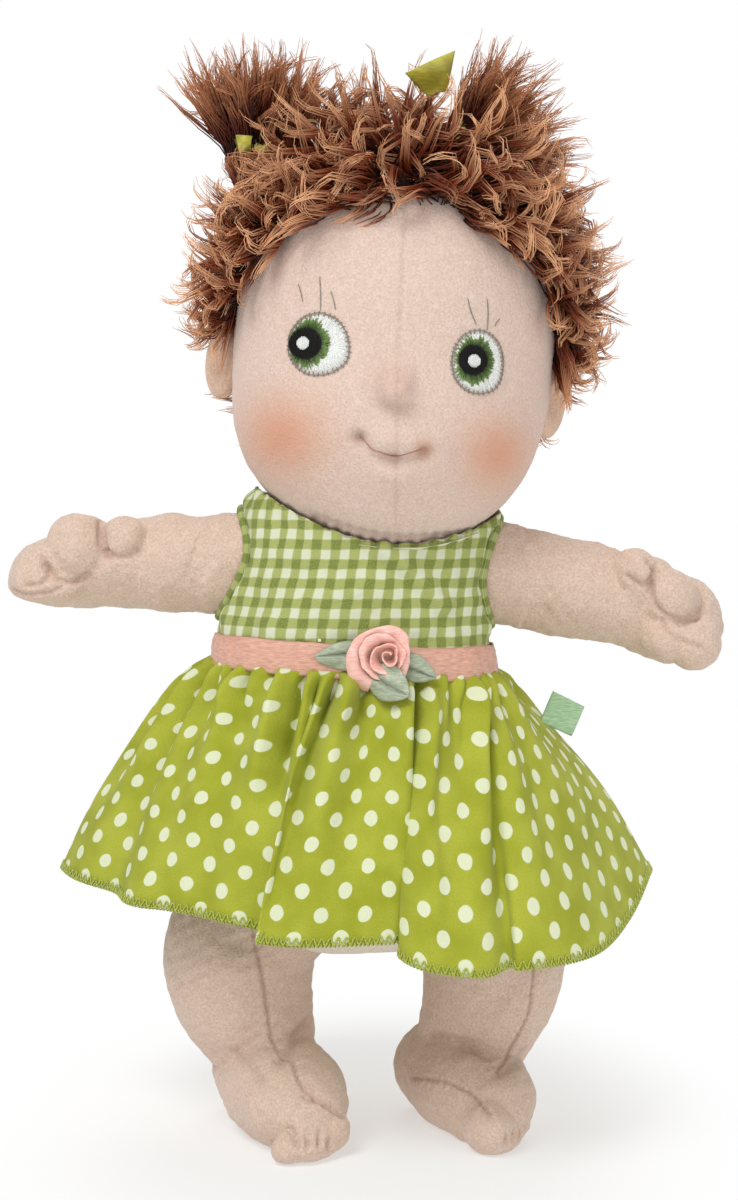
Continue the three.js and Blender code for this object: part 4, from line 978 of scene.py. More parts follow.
# Picture positions of the sewn lines and folds of the legs
LEG_SEAMS = {
    "right": [[(250, 880), (252, 915), (255, 945), (264, 986), (273, 1043), (291, 1059), (302, 1086),
               (340, 1116)]],
    "left": [[(536, 890), (536, 925), (535, 955), (532, 985), (527, 1016), (510, 1050), (496, 1072)],
             [(412, 1078), (444, 1082), (470, 1094), (490, 1114)]]}
LEG_CREASES = {"right": [([(310, 1020), (298, 1034), (286, 1052), (280, 1060)], 1.8, 1.9),
                         ([(236, 1050), (252, 1066), (262, 1080)], 0.5, 2.4),
                         ([(306, 1096), (322, 1102), (340, 1112), (356, 1128)], 1.3, 1.3)],
               "left": [([(428, 1036), (443, 1038), (458, 1043), (486, 1056)], 1.6, 1.9),
                        ([(500, 1076), (514, 1064), (523, 1052)], 0.6, 2.2)]}


def kept_above(made, floor):
    """Presses a sole flat on the floor."""
    points = where(made)
    points[:, 2] = np.maximum(points[:, 2], floor)
    put(made, points)


def build_leg(name):
    side = SIDES[name]
    way = LEG_WAY[name]
    hip = np.array([side * HIP_REACH, HIP_Y, HIP_Z]) + SHIFT
    stations = [(side * out * HIP_Z, 0, drop * HIP_Z, THIGH * wide, THIGH_DEEP * deep)
                for out, drop, wide, deep in zip(way["out"], LEG_DROP, way["wide"], LEG_DEEP)]
    shape = dict(front=(0, -1, 0), caps=(1 / 6, 1 / 8))
    limb = stuffed(stations, 40, 48, **shape)
    forms = [(limb[0] + hip, limb[1])]
    ankle = np.array([stations[-1][0] - side * way["inward"] * FOOT_W, 0, -HIP_Z]) + hip
    spin = about_z(way["heading"])
    foot_long = FOOT_LENGTH * way["long"]
    foot_stations = [
        (0, along * (FOOT_LENGTH if along > 0 else foot_long), high * FOOT_H - SOLE, wide * FOOT_W,
         high * FOOT_H)
        for along, wide, high in zip(FOOT_ALONG, way["foot"], FOOT_HIGH)]
    foot = stuffed(foot_stations, 34, 40, front=(0, 0, 1), caps=(0.2, 0.2))
    forms.append((turned(foot[0], spin, ankle), foot[1]))
    toe_spots = []
    for share in np.linspace(0, 1, TOES):
        radius = BIG_TOE * (1 - 0.42 * math.sqrt(share))
        across = -side * FOOT_W * (0.44 - 0.98 * share)
        inner, outer = way["setback"]
        ahead = -foot_long * (0.74 - inner * (1 - share) ** 2 - outer * share ** 2)
        spot = np.array([across, ahead, radius * 1.15 - SOLE])
        toe_spots.append((spot, radius))
        toe = ball_form(spot, (radius * 0.95, radius * 1.25, radius))
        forms.append((turned(toe[0], spin, ankle), toe[1]))
    made = soft_union(f"{name.title()}_leg_skin", forms, 1.35, LIMB, 3)
    seams = [seen_on(made, spots) for spots in LEG_SEAMS[name]]
    creases = []
    for (a, ra), (b, rb) in zip(toe_spots[:-1], toe_spots[1:]):
        line = (a * rb + b * ra) / (ra + rb) + TOE_GAP
        creases.append((turned(curve_through(line, 6), spin, ankle), 1.7, 1.15))
    puffed(made, seams, lambda p: smooth_step(90, 104, p[:, 2]), pull=0.06, limit=0.8, swell=1.3)
    kept_above(made, 0.15)
    finer(made)
    seams = [seen_on(made, spots) for spots in LEG_SEAMS[name]]
    creases += [(seen_on(made, spots), depth, width) for spots, depth, width in LEG_CREASES[name]]
    worked(made, seams, creases, 53 if name == "right" else 59)
    kept_above(made, 0.05 + 0.1 * np.abs(wobble(where(made)[:, :2], 6.0, 5)))
    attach(made, f"{name}_leg_body")
    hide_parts(f"{name}_leg")


# Head
def to_world(points):
    """Places measured along the head's own axes become places of the doll."""
    return turned(np.asarray(points, float), ROLL, HEAD_MIDDLE)


def hump(x, z, at_x, at_z, wide, tall):
    """A soft oval rise of height 1."""
    return np.exp(-((x - at_x) / wide) ** 2 / 2 - ((z - at_z) / tall) ** 2 / 2)


# The eyes, mouth, seam and nose lie at flat places of the head: across and up from its middle
EYES = {"right": dict(at=(-21.1, -1.2), half=(7.9, 8.1), iris=(-2.1, 0.1), iris_half=(5.8, 7.0),
                      pupil=(-3.1, -0.1), pupil_half=(4.5, 5.4), glint=(-3.3, 0.0), corner=-26.0),
        "left": dict(at=(23.3, -1.7), half=(6.8, 8.2), iris=(-1.0, 0.2), iris_half=(5.4, 7.0),
                     pupil=(-1.8, 0.3), pupil_half=(4.0, 5.1), glint=(-1.8, 0.1), corner=-46.0)}
MOUTH = [(-7.1, -25.4), (-5.6, -26.6), (-3.4, -28.6), (-0.4, -29.4), (2.0, -29.9), (4.6, -29.6),
         (7.6, -28.4), (10.4, -27.2)]
SEAM_X = ([-53, -29, -14, 39], [5.5, 3.2, 1.9, -0.8])
NOSE = (1.0, -10.2)
CHIN = 4.6


def face_relief(p):
    """How far the face stands out from the plain head, and the shade painted into its seams and folds and
    under its nose.
    """
    x, z = p[:, 0], p[:, 2]
    front = smooth_step(4, -14, p[:, 1])
    # Nose, lips, cheeks, bridge and eye hollows
    button = np.exp(-(((x - NOSE[0]) / 4.7) ** 2 + ((z - NOSE[1]) / 5.2) ** 2) ** 1.5)
    move = 5.4 * button + 0.5 * hump(x, z, NOSE[0], NOSE[1] + 5.0, 3.4, 6.0)
    move += 2.8 * hump(x, z, 3.0, -25, 13, 9) + 1.4 * hump(x, z, -25, -22, 11, 11)
    move += 1.4 * hump(x, z, 29, -22, 11, 11) - 1.0 * hump(x, z, 2, 2, 9, 10)
    for eye in EYES.values():
        move -= 1.1 * hump(x, z, *eye["at"], 8.5, 8.0)
    # The smile, drawn in at its middle and its ends
    mouth = curve_through(np.array([(a, 0, b) for a, b in MOUTH]), 8)
    flat = np.stack([x, np.zeros_like(x), z], -1)
    far = distance_to_line(flat, mouth)
    crease = np.exp(-(far / 1.5) ** 2) * (0.35 + 0.65 * hump(x, z, 2.2, -29.7, 3.5, 3))
    ends = hump(x, z, *MOUTH[0], 1.5, 1.5) + hump(x, z, *MOUTH[-1], 1.5, 1.5)
    move += -1.3 * crease - 2.3 * ends - 1.7 * hump(x, z, 2.0, -29.8, 1.7, 1.8)
    move += 1.2 * hump(x, z, 3.2, -34.2, 6.5, 2.8) + 1.0 * hump(x, z, 3.0, -24.5, 6, 2.4)
    move += CHIN * hump(x, z, 4, -50, 21, 8)
    # The seam down the middle, puckered by its stitches, and the one under the chin
    seam_x = np.interp(z, *SEAM_X)
    seam = np.exp(-((x - seam_x) / 0.6) ** 2) * smooth_step(-50, -44, z) * smooth_step(46, 38, z)
    stitch = 0.5 + 0.5 * np.sin(2 * math.pi * z / 2.3)
    beside = np.exp(-((x - seam_x) / 1.7) ** 2) * smooth_step(-50, -44, z)
    move += -0.35 * seam + 0.16 * beside * (stitch - 0.4)
    chin_line = z + 48.5 - 0.0045 * (x - 4) ** 2
    chin_seam = np.exp(-(chin_line / 0.8) ** 2) * smooth_step(26, 14, np.abs(x - 2))
    under_chin = smooth_step(-42, -50, z) * smooth_step(30, 12, np.abs(x))
    move += -1.0 * chin_seam + 0.4 * np.sin(x * 1.9) * under_chin
    # Painted shade along the seams, in the smile and its ends, and under and beside the nose
    shade = 0.09 * seam * (1 + stitch) + 0.3 * crease + 0.35 * ends + 0.2 * chin_seam
    shade += 0.3 * hump(x, z, NOSE[0] + 1.0, NOSE[1] - 5.6, 3.6, 1.4)
    shade += 0.12 * hump(x, z, NOSE[0] - 3.4, NOSE[1] + 3.0, 2.6, 3.4)
    return move * front, np.clip(shade, 0, 1) * front


def ball_directions(n):
    """Even ways out over a ball, from the six sides of a cube with n by n points, and their faces."""
    step = np.tan(np.linspace(-math.pi / 4, math.pi / 4, n))
    u, v = np.meshgrid(step, step, indexing="ij")
    one = np.ones_like(u)
    patches = [np.stack(axes, -1).reshape(-1, 3) for axes in (
        (one, u, v), (-one, -u, v), (-u, one, v), (u, -one, v), (-v, u, one), (v, u, -one))]
    faces = np.vstack([grid_faces(n, n) + k * n * n for k in range(6)])
    return unit(np.vstack(patches)), faces


def build_head():
    way, faces = ball_directions(112)
    key = np.round(way * 1e5).astype(int)
    _, first, place = np.unique(key, axis=0, return_index=True, return_inverse=True)
    way = way[first]
    faces = place.reshape(-1)[faces]
    skin = way * head_radius(way)[:, None]
    relief, shade = face_relief(skin)
    lumps = 0.45 * wobble(skin, 24.0, 71) + 0.14 * wobble(skin, 7.0, 72)
    quiet = 1 - 0.6 * smooth_step(10, -20, skin[:, 1])
    skin = skin + way * (relief + lumps * quiet)[:, None]
    x, z = skin[:, 0], skin[:, 2]
    front = skin[:, 1] < 0
    blush = 0.7 * hump(x, z, -29.5, -27.6, 9.0, 8.0) + 0.66 * hump(x, z, 32.4, -26.6, 7.4, 7.2)
    blush += 0.4 * hump(x, z, *MOUTH[-1], 2.0, 1.8) + 0.15 * hump(x, z, *NOSE, 5, 4)
    made = piece("Head_skin", to_world(skin), faces, SKIN, marks={"blush": blush * front, "shade": shade})
    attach(made, "head_body")
    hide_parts("head")


def on_face(x, z):
    """Points of the finished face behind flat places, which always meet it."""
    skin = bpy.data.objects["Head_skin"]
    x, z = np.broadcast_arrays(np.asarray(x, float), np.asarray(z, float))
    back = tuple(ROLL @ np.array([0.0, 1.0, 0.0]))
    places = []
    for flat_x, flat_z in zip(x.ravel(), z.ravel()):
        eye = to_world([[flat_x, -95.0, flat_z]])[0]
        spot = skin.ray_cast(tuple(eye * MM), back)[1]
        places.append((np.array(spot) / MM - HEAD_MIDDLE) @ ROLL)
    return np.array(places).reshape(*x.shape, 3)


EAR_PLACES = {"right": [-50.0, 5.0, -6.0], "left": [47.4, 6.0, -8.6]}


def build_ears():
    rows, columns = 26, 56
    turn, out = np.meshgrid(ring_angles(columns), np.linspace(0, 1, rows))
    reach = np.minimum(out * 2, 2 - out * 2)
    swell = 4.2 * np.sqrt(np.maximum(1 - reach ** 2, 0))
    dish = 3.6 * np.exp(-(reach / 0.55) ** 2)
    x = np.where(out <= 0.5, swell - dish, -swell)
    ear = np.stack([x, 9.0 * reach * np.cos(turn), 11.4 * reach * np.sin(turn)], -1).reshape(-1, 3)
    for name, side in SIDES.items():
        p = ear @ about_z(-34).T * [side, 1, 1] + EAR_PLACES[name]
        made = piece(f"{name.title()}_ear_skin", to_world(p), grid_faces(rows, columns, closed=True), EAR)
        add_modifier(made, "WELD", merge_threshold=0.01 * MM)
        made_plain(made)
        tidy_normals(made)
        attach(made, "head_body")
        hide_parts(f"{name}_ear")


# Eyes and mouth
def oval_radius(half, angle):
    """How far an oval's edge lies from its middle at an angle."""
    return half[0] * half[1] / np.hypot(half[1] * np.cos(angle), half[0] * np.sin(angle))


def on_ring(centre, radius, angle):
    return centre + radius * np.array([math.cos(angle), math.sin(angle)])


def eye_radius(eye, angle):
    """The sewn outline: round, with a soft corner."""
    away = np.cos(angle - math.radians(eye["corner"]))
    return oval_radius(eye["half"], angle) * (1 + 0.12 * np.maximum(away, 0) ** 8)


def face_patch(name, middle, outline, lift, finish):
    """A filled patch lying on the face; outline gives its radius at each angle."""
    rings, sides = 10, 72
    angle = ring_angles(sides)
    share = np.linspace(0, 1, rings + 1)[1:]
    a, s = np.meshgrid(angle, share)
    radius = outline(a) * s
    x = np.append((middle[0] + radius * np.cos(a)).ravel(), middle[0])
    z = np.append((middle[1] + radius * np.sin(a)).ravel(), middle[1])
    height = lift * np.append(np.sqrt(np.maximum(1 - s.ravel() ** 6, 0)), 1.0)
    base = on_face(x, z)
    p = base + unit(base) * height[:, None]
    faces = grid_faces(rings, sides, closed=True).tolist()
    faces += [(len(x) - 1, i, (i + 1) % sides) for i in range(sides)]
    made = piece(name, to_world(p), faces, finish)
    tidy_normals(made)
    return made


def stitch_line(a, b, lift, low=0.3, steps=7):
    """One stitch over the face between two flat places; its ends keep a share of the lift."""
    t = np.linspace(0, 1, steps)
    x, z = a[0] + (b[0] - a[0]) * t, a[1] + (b[1] - a[1]) * t
    rise = lift * (low + (1 - low) * np.sin(math.pi * t) ** 0.35)
    base = on_face(x, z)
    return to_world(base + unit(base) * (rise - 0.15)[:, None])


def join(name, parts):
    """Joins made pieces into one."""
    bpy.ops.object.select_all(action="DESELECT")
    for part in parts:
        part.select_set(True)
    bpy.context.view_layer.objects.active = parts[0]
    bpy.ops.object.join()
    parts[0].name = name
    return parts[0]


def head_part(made, nodes):
    """Makes a piece move with the head and hides the model's parts that it stands for."""
    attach(made, "head_body")
    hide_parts(*nodes)


# Stitches round each part of the eye, how far its thread stands on the face, and thread widths
WHITE_STITCHES, IRIS_STITCHES, RIM_PLACES = 118, 104, 40
WHITE_LIFT, IRIS_LIFT, PUPIL_LIFT, GLINT_LIFT, RIM_LIFT = 0.62, 1.0, 1.4, 1.95, 0.5
BROAD_THREAD, PUPIL_THREAD, RIM_THREAD = 0.5, 0.46, 0.3


def full_turn(count):
    return np.arange(0, 2 * math.pi, 2 * math.pi / count)


def build_eye_white(name, eye, middle, dice):
    title = name.title()
    base = face_patch(f"{title}_eye_white_base", middle, lambda a: eye_radius(eye, a), 0.35, WHITE_THREAD)
    lines = []
    for angle in full_turn(WHITE_STITCHES):
        angle += dice.uniform(-0.012, 0.012)
        far = eye_radius(eye, angle) + dice.uniform(-0.25, 0.1)
        lines.append(stitch_line(on_ring(middle, 3.0, angle), on_ring(middle, far, angle), WHITE_LIFT))
    threads = sewn(f"{title}_eye_white_threads", lines, WHITE_THREAD, BROAD_THREAD)
    head_part(join(f"{title}_eye_white_sewn", [base, threads]), [f"{name}_eye_white"])


def build_iris(name, eye, iris, pupil, dice):
    title = name.title()
    base = face_patch(f"{title}_iris_base", iris, lambda a: 0.96 * oval_radius(eye["iris_half"], a), 0.75,
                      IRIS_THREAD)
    set_marks(base.data, {"along": np.full(len(base.data.vertices), 0.3)})
    lines = []
    for angle in full_turn(IRIS_STITCHES):
        angle += dice.uniform(-0.02, 0.02)
        inner = on_ring(pupil, 2.6, angle + dice.uniform(-0.05, 0.05))
        far = oval_radius(eye["iris_half"], angle) + dice.uniform(-0.9, 0.5)
        lines.append(stitch_line(inner, on_ring(iris, far, angle), IRIS_LIFT, 0.55))
    threads = sewn(f"{title}_iris_threads", lines, IRIS_THREAD, BROAD_THREAD)
    head_part(join(f"{title}_iris_sewn", [base, threads]), [f"{name}_eye_iris"])


def build_pupil(name, eye, pupil, dice):
    title = name.title()
    half_x, half_z = eye["pupil_half"]
    base = face_patch(f"{title}_pupil_base", pupil,
                      lambda a: 0.95 * oval_radius(eye["pupil_half"], a), 1.1, BLACK_THREAD)
    lines = []
    for x in np.arange(-half_x + 0.2, half_x - 0.1, 0.36):
        reach = half_z * math.sqrt(max(1 - (x / half_x) ** 2, 0.02)) + dice.uniform(-0.2, 0.2)
        top = pupil + [x + dice.uniform(-0.1, 0.1), reach]
        lines.append(stitch_line(pupil + [x, -reach], top, PUPIL_LIFT, 0.6))
    threads = sewn(f"{title}_pupil_threads", lines, BLACK_THREAD, PUPIL_THREAD)
    head_part(join(f"{title}_pupil_sewn", [base, threads]), [f"{name}_eye_pupil"])


def build_glint(name, glint, dice):
    lines = []
    for x in np.arange(-1.5, 1.55, 0.33):
        reach = 1.75 * math.sqrt(max(1 - (x / 1.7) ** 2, 0.04)) + dice.uniform(-0.1, 0.1)
        lines.append(stitch_line(glint + [x, -reach], glint + [x, reach], GLINT_LIFT, 0.92, steps=6))
    made = sewn(f"{name.title()}_glint_sewn", lines, WHITE_THREAD, PUPIL_THREAD)
    head_part(made, [f"{name}_eye_glint"])


def build_lashes(name, eye, middle, dice):
    """The outline, with short stitches across it, and the lashes above."""
    lines = []
    ring = np.linspace(0, 2 * math.pi, RIM_PLACES)
    for a, b in zip(ring[:-1], ring[1:]):
        gap = 0.1 * (b - a)
        ends = [on_ring(middle, eye_radius(eye, t) + 0.5 + dice.uniform(-0.12, 0.12), t)
                for t in (a - gap, b + gap)]
        lines.append(stitch_line(ends[0], ends[1], RIM_LIFT))
        short = [on_ring(middle, eye_radius(eye, a) + out, a + dice.uniform(-0.03, 0.03))
                 for out in (-0.5, 1.0)]
        lines.append(stitch_line(short[0], short[1], RIM_LIFT + 0.1))
    for spots in LASHES[name]:
        flat = curve_through(np.array([face_flat(*spot) for spot in spots], float), 6)
        p = on_face(flat[:, 0], flat[:, 1])
        lines.append(to_world(p + unit(p) * 0.2))
    made = sewn(f"{name.title()}_lashes_sewn", lines, GREY_THREAD, RIM_THREAD)
    head_part(made, [f"{name}_eye_lashes"])


def build_eye(name):
    """The embroidery of one eye, from the white up to the lashes."""
    eye = EYES[name]
    middle = np.array(eye["at"])
    pupil = middle + eye["pupil"]
    dice = np.random.default_rng(81 if name == "right" else 82)
    build_eye_white(name, eye, middle, dice)
    build_iris(name, eye, middle + eye["iris"], pupil, dice)
    build_pupil(name, eye, pupil, dice)
    build_glint(name, middle + eye["glint"], dice)
    build_lashes(name, eye, middle, dice)


def face_flat(px, py, depth=-40.0):
    """The flat place on the face seen at a picture position."""
    return picture_to_head(px, py, depth)[[0, 2]]


# Picture positions along the lashes
LASHES = {
    "right": [((320, 277), (321, 294), (321, 311)), ((331, 292), (334, 301), (336, 311)),
              ((298, 283), (301, 292), (303, 302))],
    "left": [((487, 299), (488, 314), (487, 330)), ((467, 299), (470, 311), (476, 325)),
             ((500, 318), (497, 322), (495, 326))]}


def build_mouth():
    spots = curve_through(np.array([(a, 0, b) for a, b in MOUTH]), 8)
    p = on_face(spots[:, 0], spots[:, 2])
    line = to_world(p + unit(p) * 0.1)
    made = sewn("Mouth_sewn", [line], MOUTH_THREAD, 0.36)
    head_part(made, ["mouth_stitch"])


# Hair
# Two planes cut the wig off at the face and at the nape: a place on each and the way it faces
FACE_EDGE = (np.array([0, -36, 39]), np.array([0, -0.743, -0.669]))
NAPE_EDGE = (np.array([0, 10, -14]), np.array([0, -0.454, -0.891]))
# The turn between two roots that spreads them evenly
GOLDEN_TURN = 2.399963
SCALP_PLACES = 4200
EAR_CLEARING = 15.5
FRINGE_ROOTS = ((-14, -33, 40), (-16, -31, 43), (-11, -33, 42), (-8, -34, 41))
# Locks that spread from a tie, and short ones that run up to it
BUNCH_LOCKS, ROOT_LOCKS = 250, 110
STRANDS = 9
LOCK_STEPS = 9
# Of the places along a lock, these are enough to draw it
KEPT_PLACES = [0, 2, 3, 4, 6, 7, 8, 9]
# Where each bunch is tied, its tip, how far its locks spread, and how long they are
TIES = {"right": dict(tie=(-45.5, 3.0, 57.5), tip=(-48.0, 1.0, 96.0), lean=0.72, root=8.5, length=(28, 41)),
        "left": dict(tie=(16.0, 3.0, 63.0), tip=(54.0, 1.0, 84.0), lean=0.92, root=6.5, length=(30, 45))}


def past(edge, p):
    """How far places lie beyond a plane."""
    place, way = edge
    return (p - place) @ way


def scalp_points(count, start):
    """Even places on the scalp, out of a number of them over the whole head."""
    k = np.arange(count) + 0.5
    up = 1 - 2 * k / count
    turn = k * GOLDEN_TURN + start
    flat = np.sqrt(1 - up * up)
    way = np.stack([flat * np.cos(turn), flat * np.sin(turn), up], -1)
    p = way * head_radius(way)[:, None]
    return p[(past(FACE_EDGE, p) <= 0) & (past(NAPE_EDGE, p) <= 0)]


def clear_of_face(p, loose):
    """Moves hair sideways out of the face's opening."""
    x, z = p[:, 0] - 0.5, p[:, 2]
    tall = np.where(z > 0, 39.0 * loose, 300.0)
    inside = (np.abs(x / (46.5 * loose)) ** 2.5 + np.abs(z / tall) ** 2.5) ** 0.4
    push = np.where((p[:, 1] < -14) & (inside < 1), 1 / np.maximum(inside, 0.15), 1.0)
    push = np.minimum(push, 1.9)
    moved_to = p.copy()
    moved_to[:, 0] = x * push + 0.5
    moved_to[:, 2] = np.where(z > 0, z * push, z)
    return moved_to


def off_the_head(p, gap):
    """Lifts places that lie under the skin, or too near it, out to a gap above it."""
    way = unit(p)
    low = head_radius(way) + gap
    return way * np.maximum(np.linalg.norm(p, axis=-1), low)[:, None]


def lock_flow(p):
    """The way the hair lies at a place on the scalp."""
    x, y, z = p
    if y < -6 and z > 15:
        side = 1.0 if x > 2 + 9 * math.sin(z * 1.7) else -1.0
        return np.array([side * 0.75, -0.5, -0.3 - 0.5 * smooth_step(8, 40, abs(x))])
    if z < 5:
        return np.array([0.1 * np.sign(x), 0.3 * np.sign(y - 4), -0.8])
    up = smooth_step(30, 52, z)
    low = np.array([0.6 * np.sign(x) * smooth_step(10, 40, abs(x)), 0.15 * np.sign(y), -0.75])
    high = np.array([0.014 * x, 0.2 * math.sin(x), 1.3])
    return low * (1 - up) + high * up + unit(np.array([x, y, 0.0])) * 0.8 * math.sin(math.pi * up)


def hair_lock(root, length, dice, flow=None):
    """One wavy lock: rises from the scalp, lies along its flow and hooks round at the tip."""
    normal = unit(root)
    flow = lock_flow(root) if flow is None else flow
    flow = unit(flow - 0.5 * (flow @ normal) * normal + dice.normal(size=3) * 0.25)
    heading = unit(normal * dice.uniform(0.7, 1.3) + flow * 0.6)
    wave_axis = unit(np.cross(flow, normal) + dice.normal(size=3) * 0.45)
    phase = dice.uniform(0, 2 * math.pi)
    tip = dice.choice([-1, 1]) * dice.uniform(0.6, 1.7)
    line = [root * 0.985]
    step = length / LOCK_STEPS
    for i in range(LOCK_STEPS):
        s = (i + 1) / LOCK_STEPS
        heading = unit(heading + flow * 0.34 * (1 - 0.8 * s) + np.array([0, 0, -0.05]))
        sway = 0.5 * math.sin(phase + 6.5 * s) + tip * s * s
        side = np.cross(wave_axis, heading)
        line.append(line[-1] + unit(heading + side * sway) * step)
        heading = unit(heading + side * sway * 0.7)
    return np.array(line)[KEPT_PLACES]


def grow_hair(name, locks, width, seed, finish):
    """Fibres along guide lines; each lock has a tint of its own."""
    tints = np.random.default_rng(seed).uniform(0, 1, len(locks))
    marks = {"lock_tint": np.concatenate([np.full(len(lock), tint) for lock, tint in zip(locks, tints)])}
    return grown_from(name, [to_world(lock) for lock in locks], HAIR_TREE, {
        "Strands": STRANDS, "Lock Width": width * MM, "Tip Share": 0.3, "Frizz": 2.2 * MM,
        "Frizz Scale": 170.0, "Thickness": 0.52 * MM, "Shortest": 0.7, "Seed": seed,
        "Material": finish}, marks)


def build_scalp():
    """The wig's knitted backing, under the curls."""
    way, faces = ball_directions(60)
    skin = way * (head_radius(way) + 0.9)[:, None]
    skin = skin + way * (0.7 * np.abs(wobble(skin, 6.0, 91)))[:, None]
    ears = np.min([np.linalg.norm(skin - spot, axis=1) for spot in EAR_PLACES.values()], axis=0)
    edge = np.minimum(np.minimum(-past(FACE_EDGE, skin) - 3.0, -past(NAPE_EDGE, skin)), ears - 17.0)
    points, kept = trim(skin, faces, edge + 0.8 * wobble(skin, 5.0, 92))
    made = piece("Wig_backing", to_world(points), kept, SCALP)
    add_modifier(made, "WELD", merge_threshold=0.02 * MM)
    made_plain(made)
    head_part(made, ["wig"])


def hair_zone(root):
    """The part of the wig that a root belongs to; each part is a piece of its own."""
    x, y, z = root
    if y < -12:
        part = "front"
    elif y < 22 and z < 34:
        part = "side"
    elif z >= 34:
        return "crown"
    else:
        part = "back"
    return f"{part}_left" if x > 0 else f"{part}_right"


def hair_length(root, dice):
    """Long on top, short at the nape and shortest round the ears."""
    x, y, z = root
    length = dice.uniform(20, 29) + 9 * smooth_step(38, 50, z) * smooth_step(48, 30, abs(x))
    if z < 5:
        length = dice.uniform(11, 15) if y < 16 else dice.uniform(15, 21)
    return length


def build_hair():
    """The curls of the cap, in one piece for each part of the wig."""
    dice = np.random.default_rng(95)
    zones = {}
    for root in scalp_points(SCALP_PLACES, 0.3):
        x, y, z = root
        length = hair_length(root, dice)
        if min(np.linalg.norm(root - np.array(spot)) for spot in EAR_PLACES.values()) < EAR_CLEARING:
            continue
        flow = None
        for tie in TIES.values():
            away = np.linalg.norm(root - np.array(tie["tie"]) * [1, 1, 0.85])
            if away < 12 and z > 30:
                flow = np.array(tie["tie"]) * [1, 1, 1.05] - root
                length = 12 + away * 0.6
        line = hair_lock(root, length, dice, flow)
        line = off_the_head(line, 1.0 + 3.0 * np.linspace(0, 1, len(line)))
        if y < 4:
            line = clear_of_face(line, dice.uniform(0.87, 1.1))
        if z < 20 and y < 22:
            line[:, 2] = np.maximum(line[:, 2], -19 + 3 * math.sin(9 * x))
        zones.setdefault(hair_zone(root), []).append(line)
    fringe = []
    for spot in FRINGE_ROOTS:
        root = np.array(spot, float)
        t = np.linspace(0, 1, 10)
        drop = np.stack([-4 * t + 3.5 * np.sin(4.2 * t), -5 * np.sin(2.5 * t), -10 * t], -1)
        fringe.append(root + drop + dice.normal(size=3) * 0.8)
    zones["front_right"] += fringe
    for k, (zone, locks) in enumerate(sorted(zones.items())):
        made = grow_hair(f"Hair_{zone}", locks, 2.0, 101 + k, HAIR)
        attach(made, "head_body")
        if zone == "crown":
            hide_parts("wig")


def bunch_frame(tie):
    """Where a bunch is tied, the way it points and two ways across it."""
    base = np.array(tie["tie"])
    axis = unit(np.array(tie["tip"]) - base)
    across = unit(np.cross(axis, [0, 1, 0]))
    return base, axis, across, np.cross(across, axis)


def build_bunch(name):
    """Locks out of the tie, and short ones that run up to it from the scalp."""
    tie = TIES[name]
    base, axis, across, deep = bunch_frame(tie)
    dice = np.random.default_rng(97 if name == "right" else 98)
    locks = []
    for _ in range(BUNCH_LOCKS):
        angle = dice.uniform(0, 2 * math.pi)
        lean = math.sqrt(dice.uniform(0, 1)) * tie["lean"]
        out = across * math.cos(angle) + deep * math.sin(angle) * 0.8
        flow = unit(axis * math.cos(lean) + out * math.sin(lean))
        root = base - axis * 5 + out * dice.uniform(0.5, tie["root"]) * 0.8
        length = dice.uniform(*tie["length"]) * (1 - 0.14 * lean)
        line = [root]
        heading = unit(axis + out * 0.35)
        phase = dice.uniform(0, 2 * math.pi)
        bend = unit(dice.normal(size=3))
        curl = dice.uniform(0.2, 0.9)
        for i in range(LOCK_STEPS):
            s = (i + 1) / LOCK_STEPS
            heading = unit(heading + flow * 0.55 + np.array([0, 0, -0.05 * s]))
            side = np.cross(bend, heading)
            sway = 0.35 * math.sin(phase + 5 * s) + curl * 0.8 * s * s
            line.append(line[-1] + unit(heading + side * sway) * length / LOCK_STEPS)
            heading = unit(heading + side * sway * 0.5)
        locks.append(np.array(line)[KEPT_PLACES])
    foot = unit(base) * head_radius(unit(base)[None])[0]
    for _ in range(ROOT_LOCKS):
        angle = dice.uniform(0, 2 * math.pi)
        out = across * math.cos(angle) + deep * math.sin(angle)
        root = unit(foot + out * dice.uniform(3, 17))
        root = root * head_radius(root[None])[0]
        spots = [root, root + unit(root) * 4.5, base + out * 8.5 - axis * 5, base + out * 5.5 + axis,
                 base + out * dice.uniform(5, 8) + axis * dice.uniform(5, 9)]
        locks.append(curve_through(np.array(spots), 3))
    made = grow_hair(f"Hair_bunch_{name}", locks, 2.1, 111 if name == "right" else 112, BUNCH_HAIR_SHADED)
    head_part(made, [f"{name}_hair_bunch"])


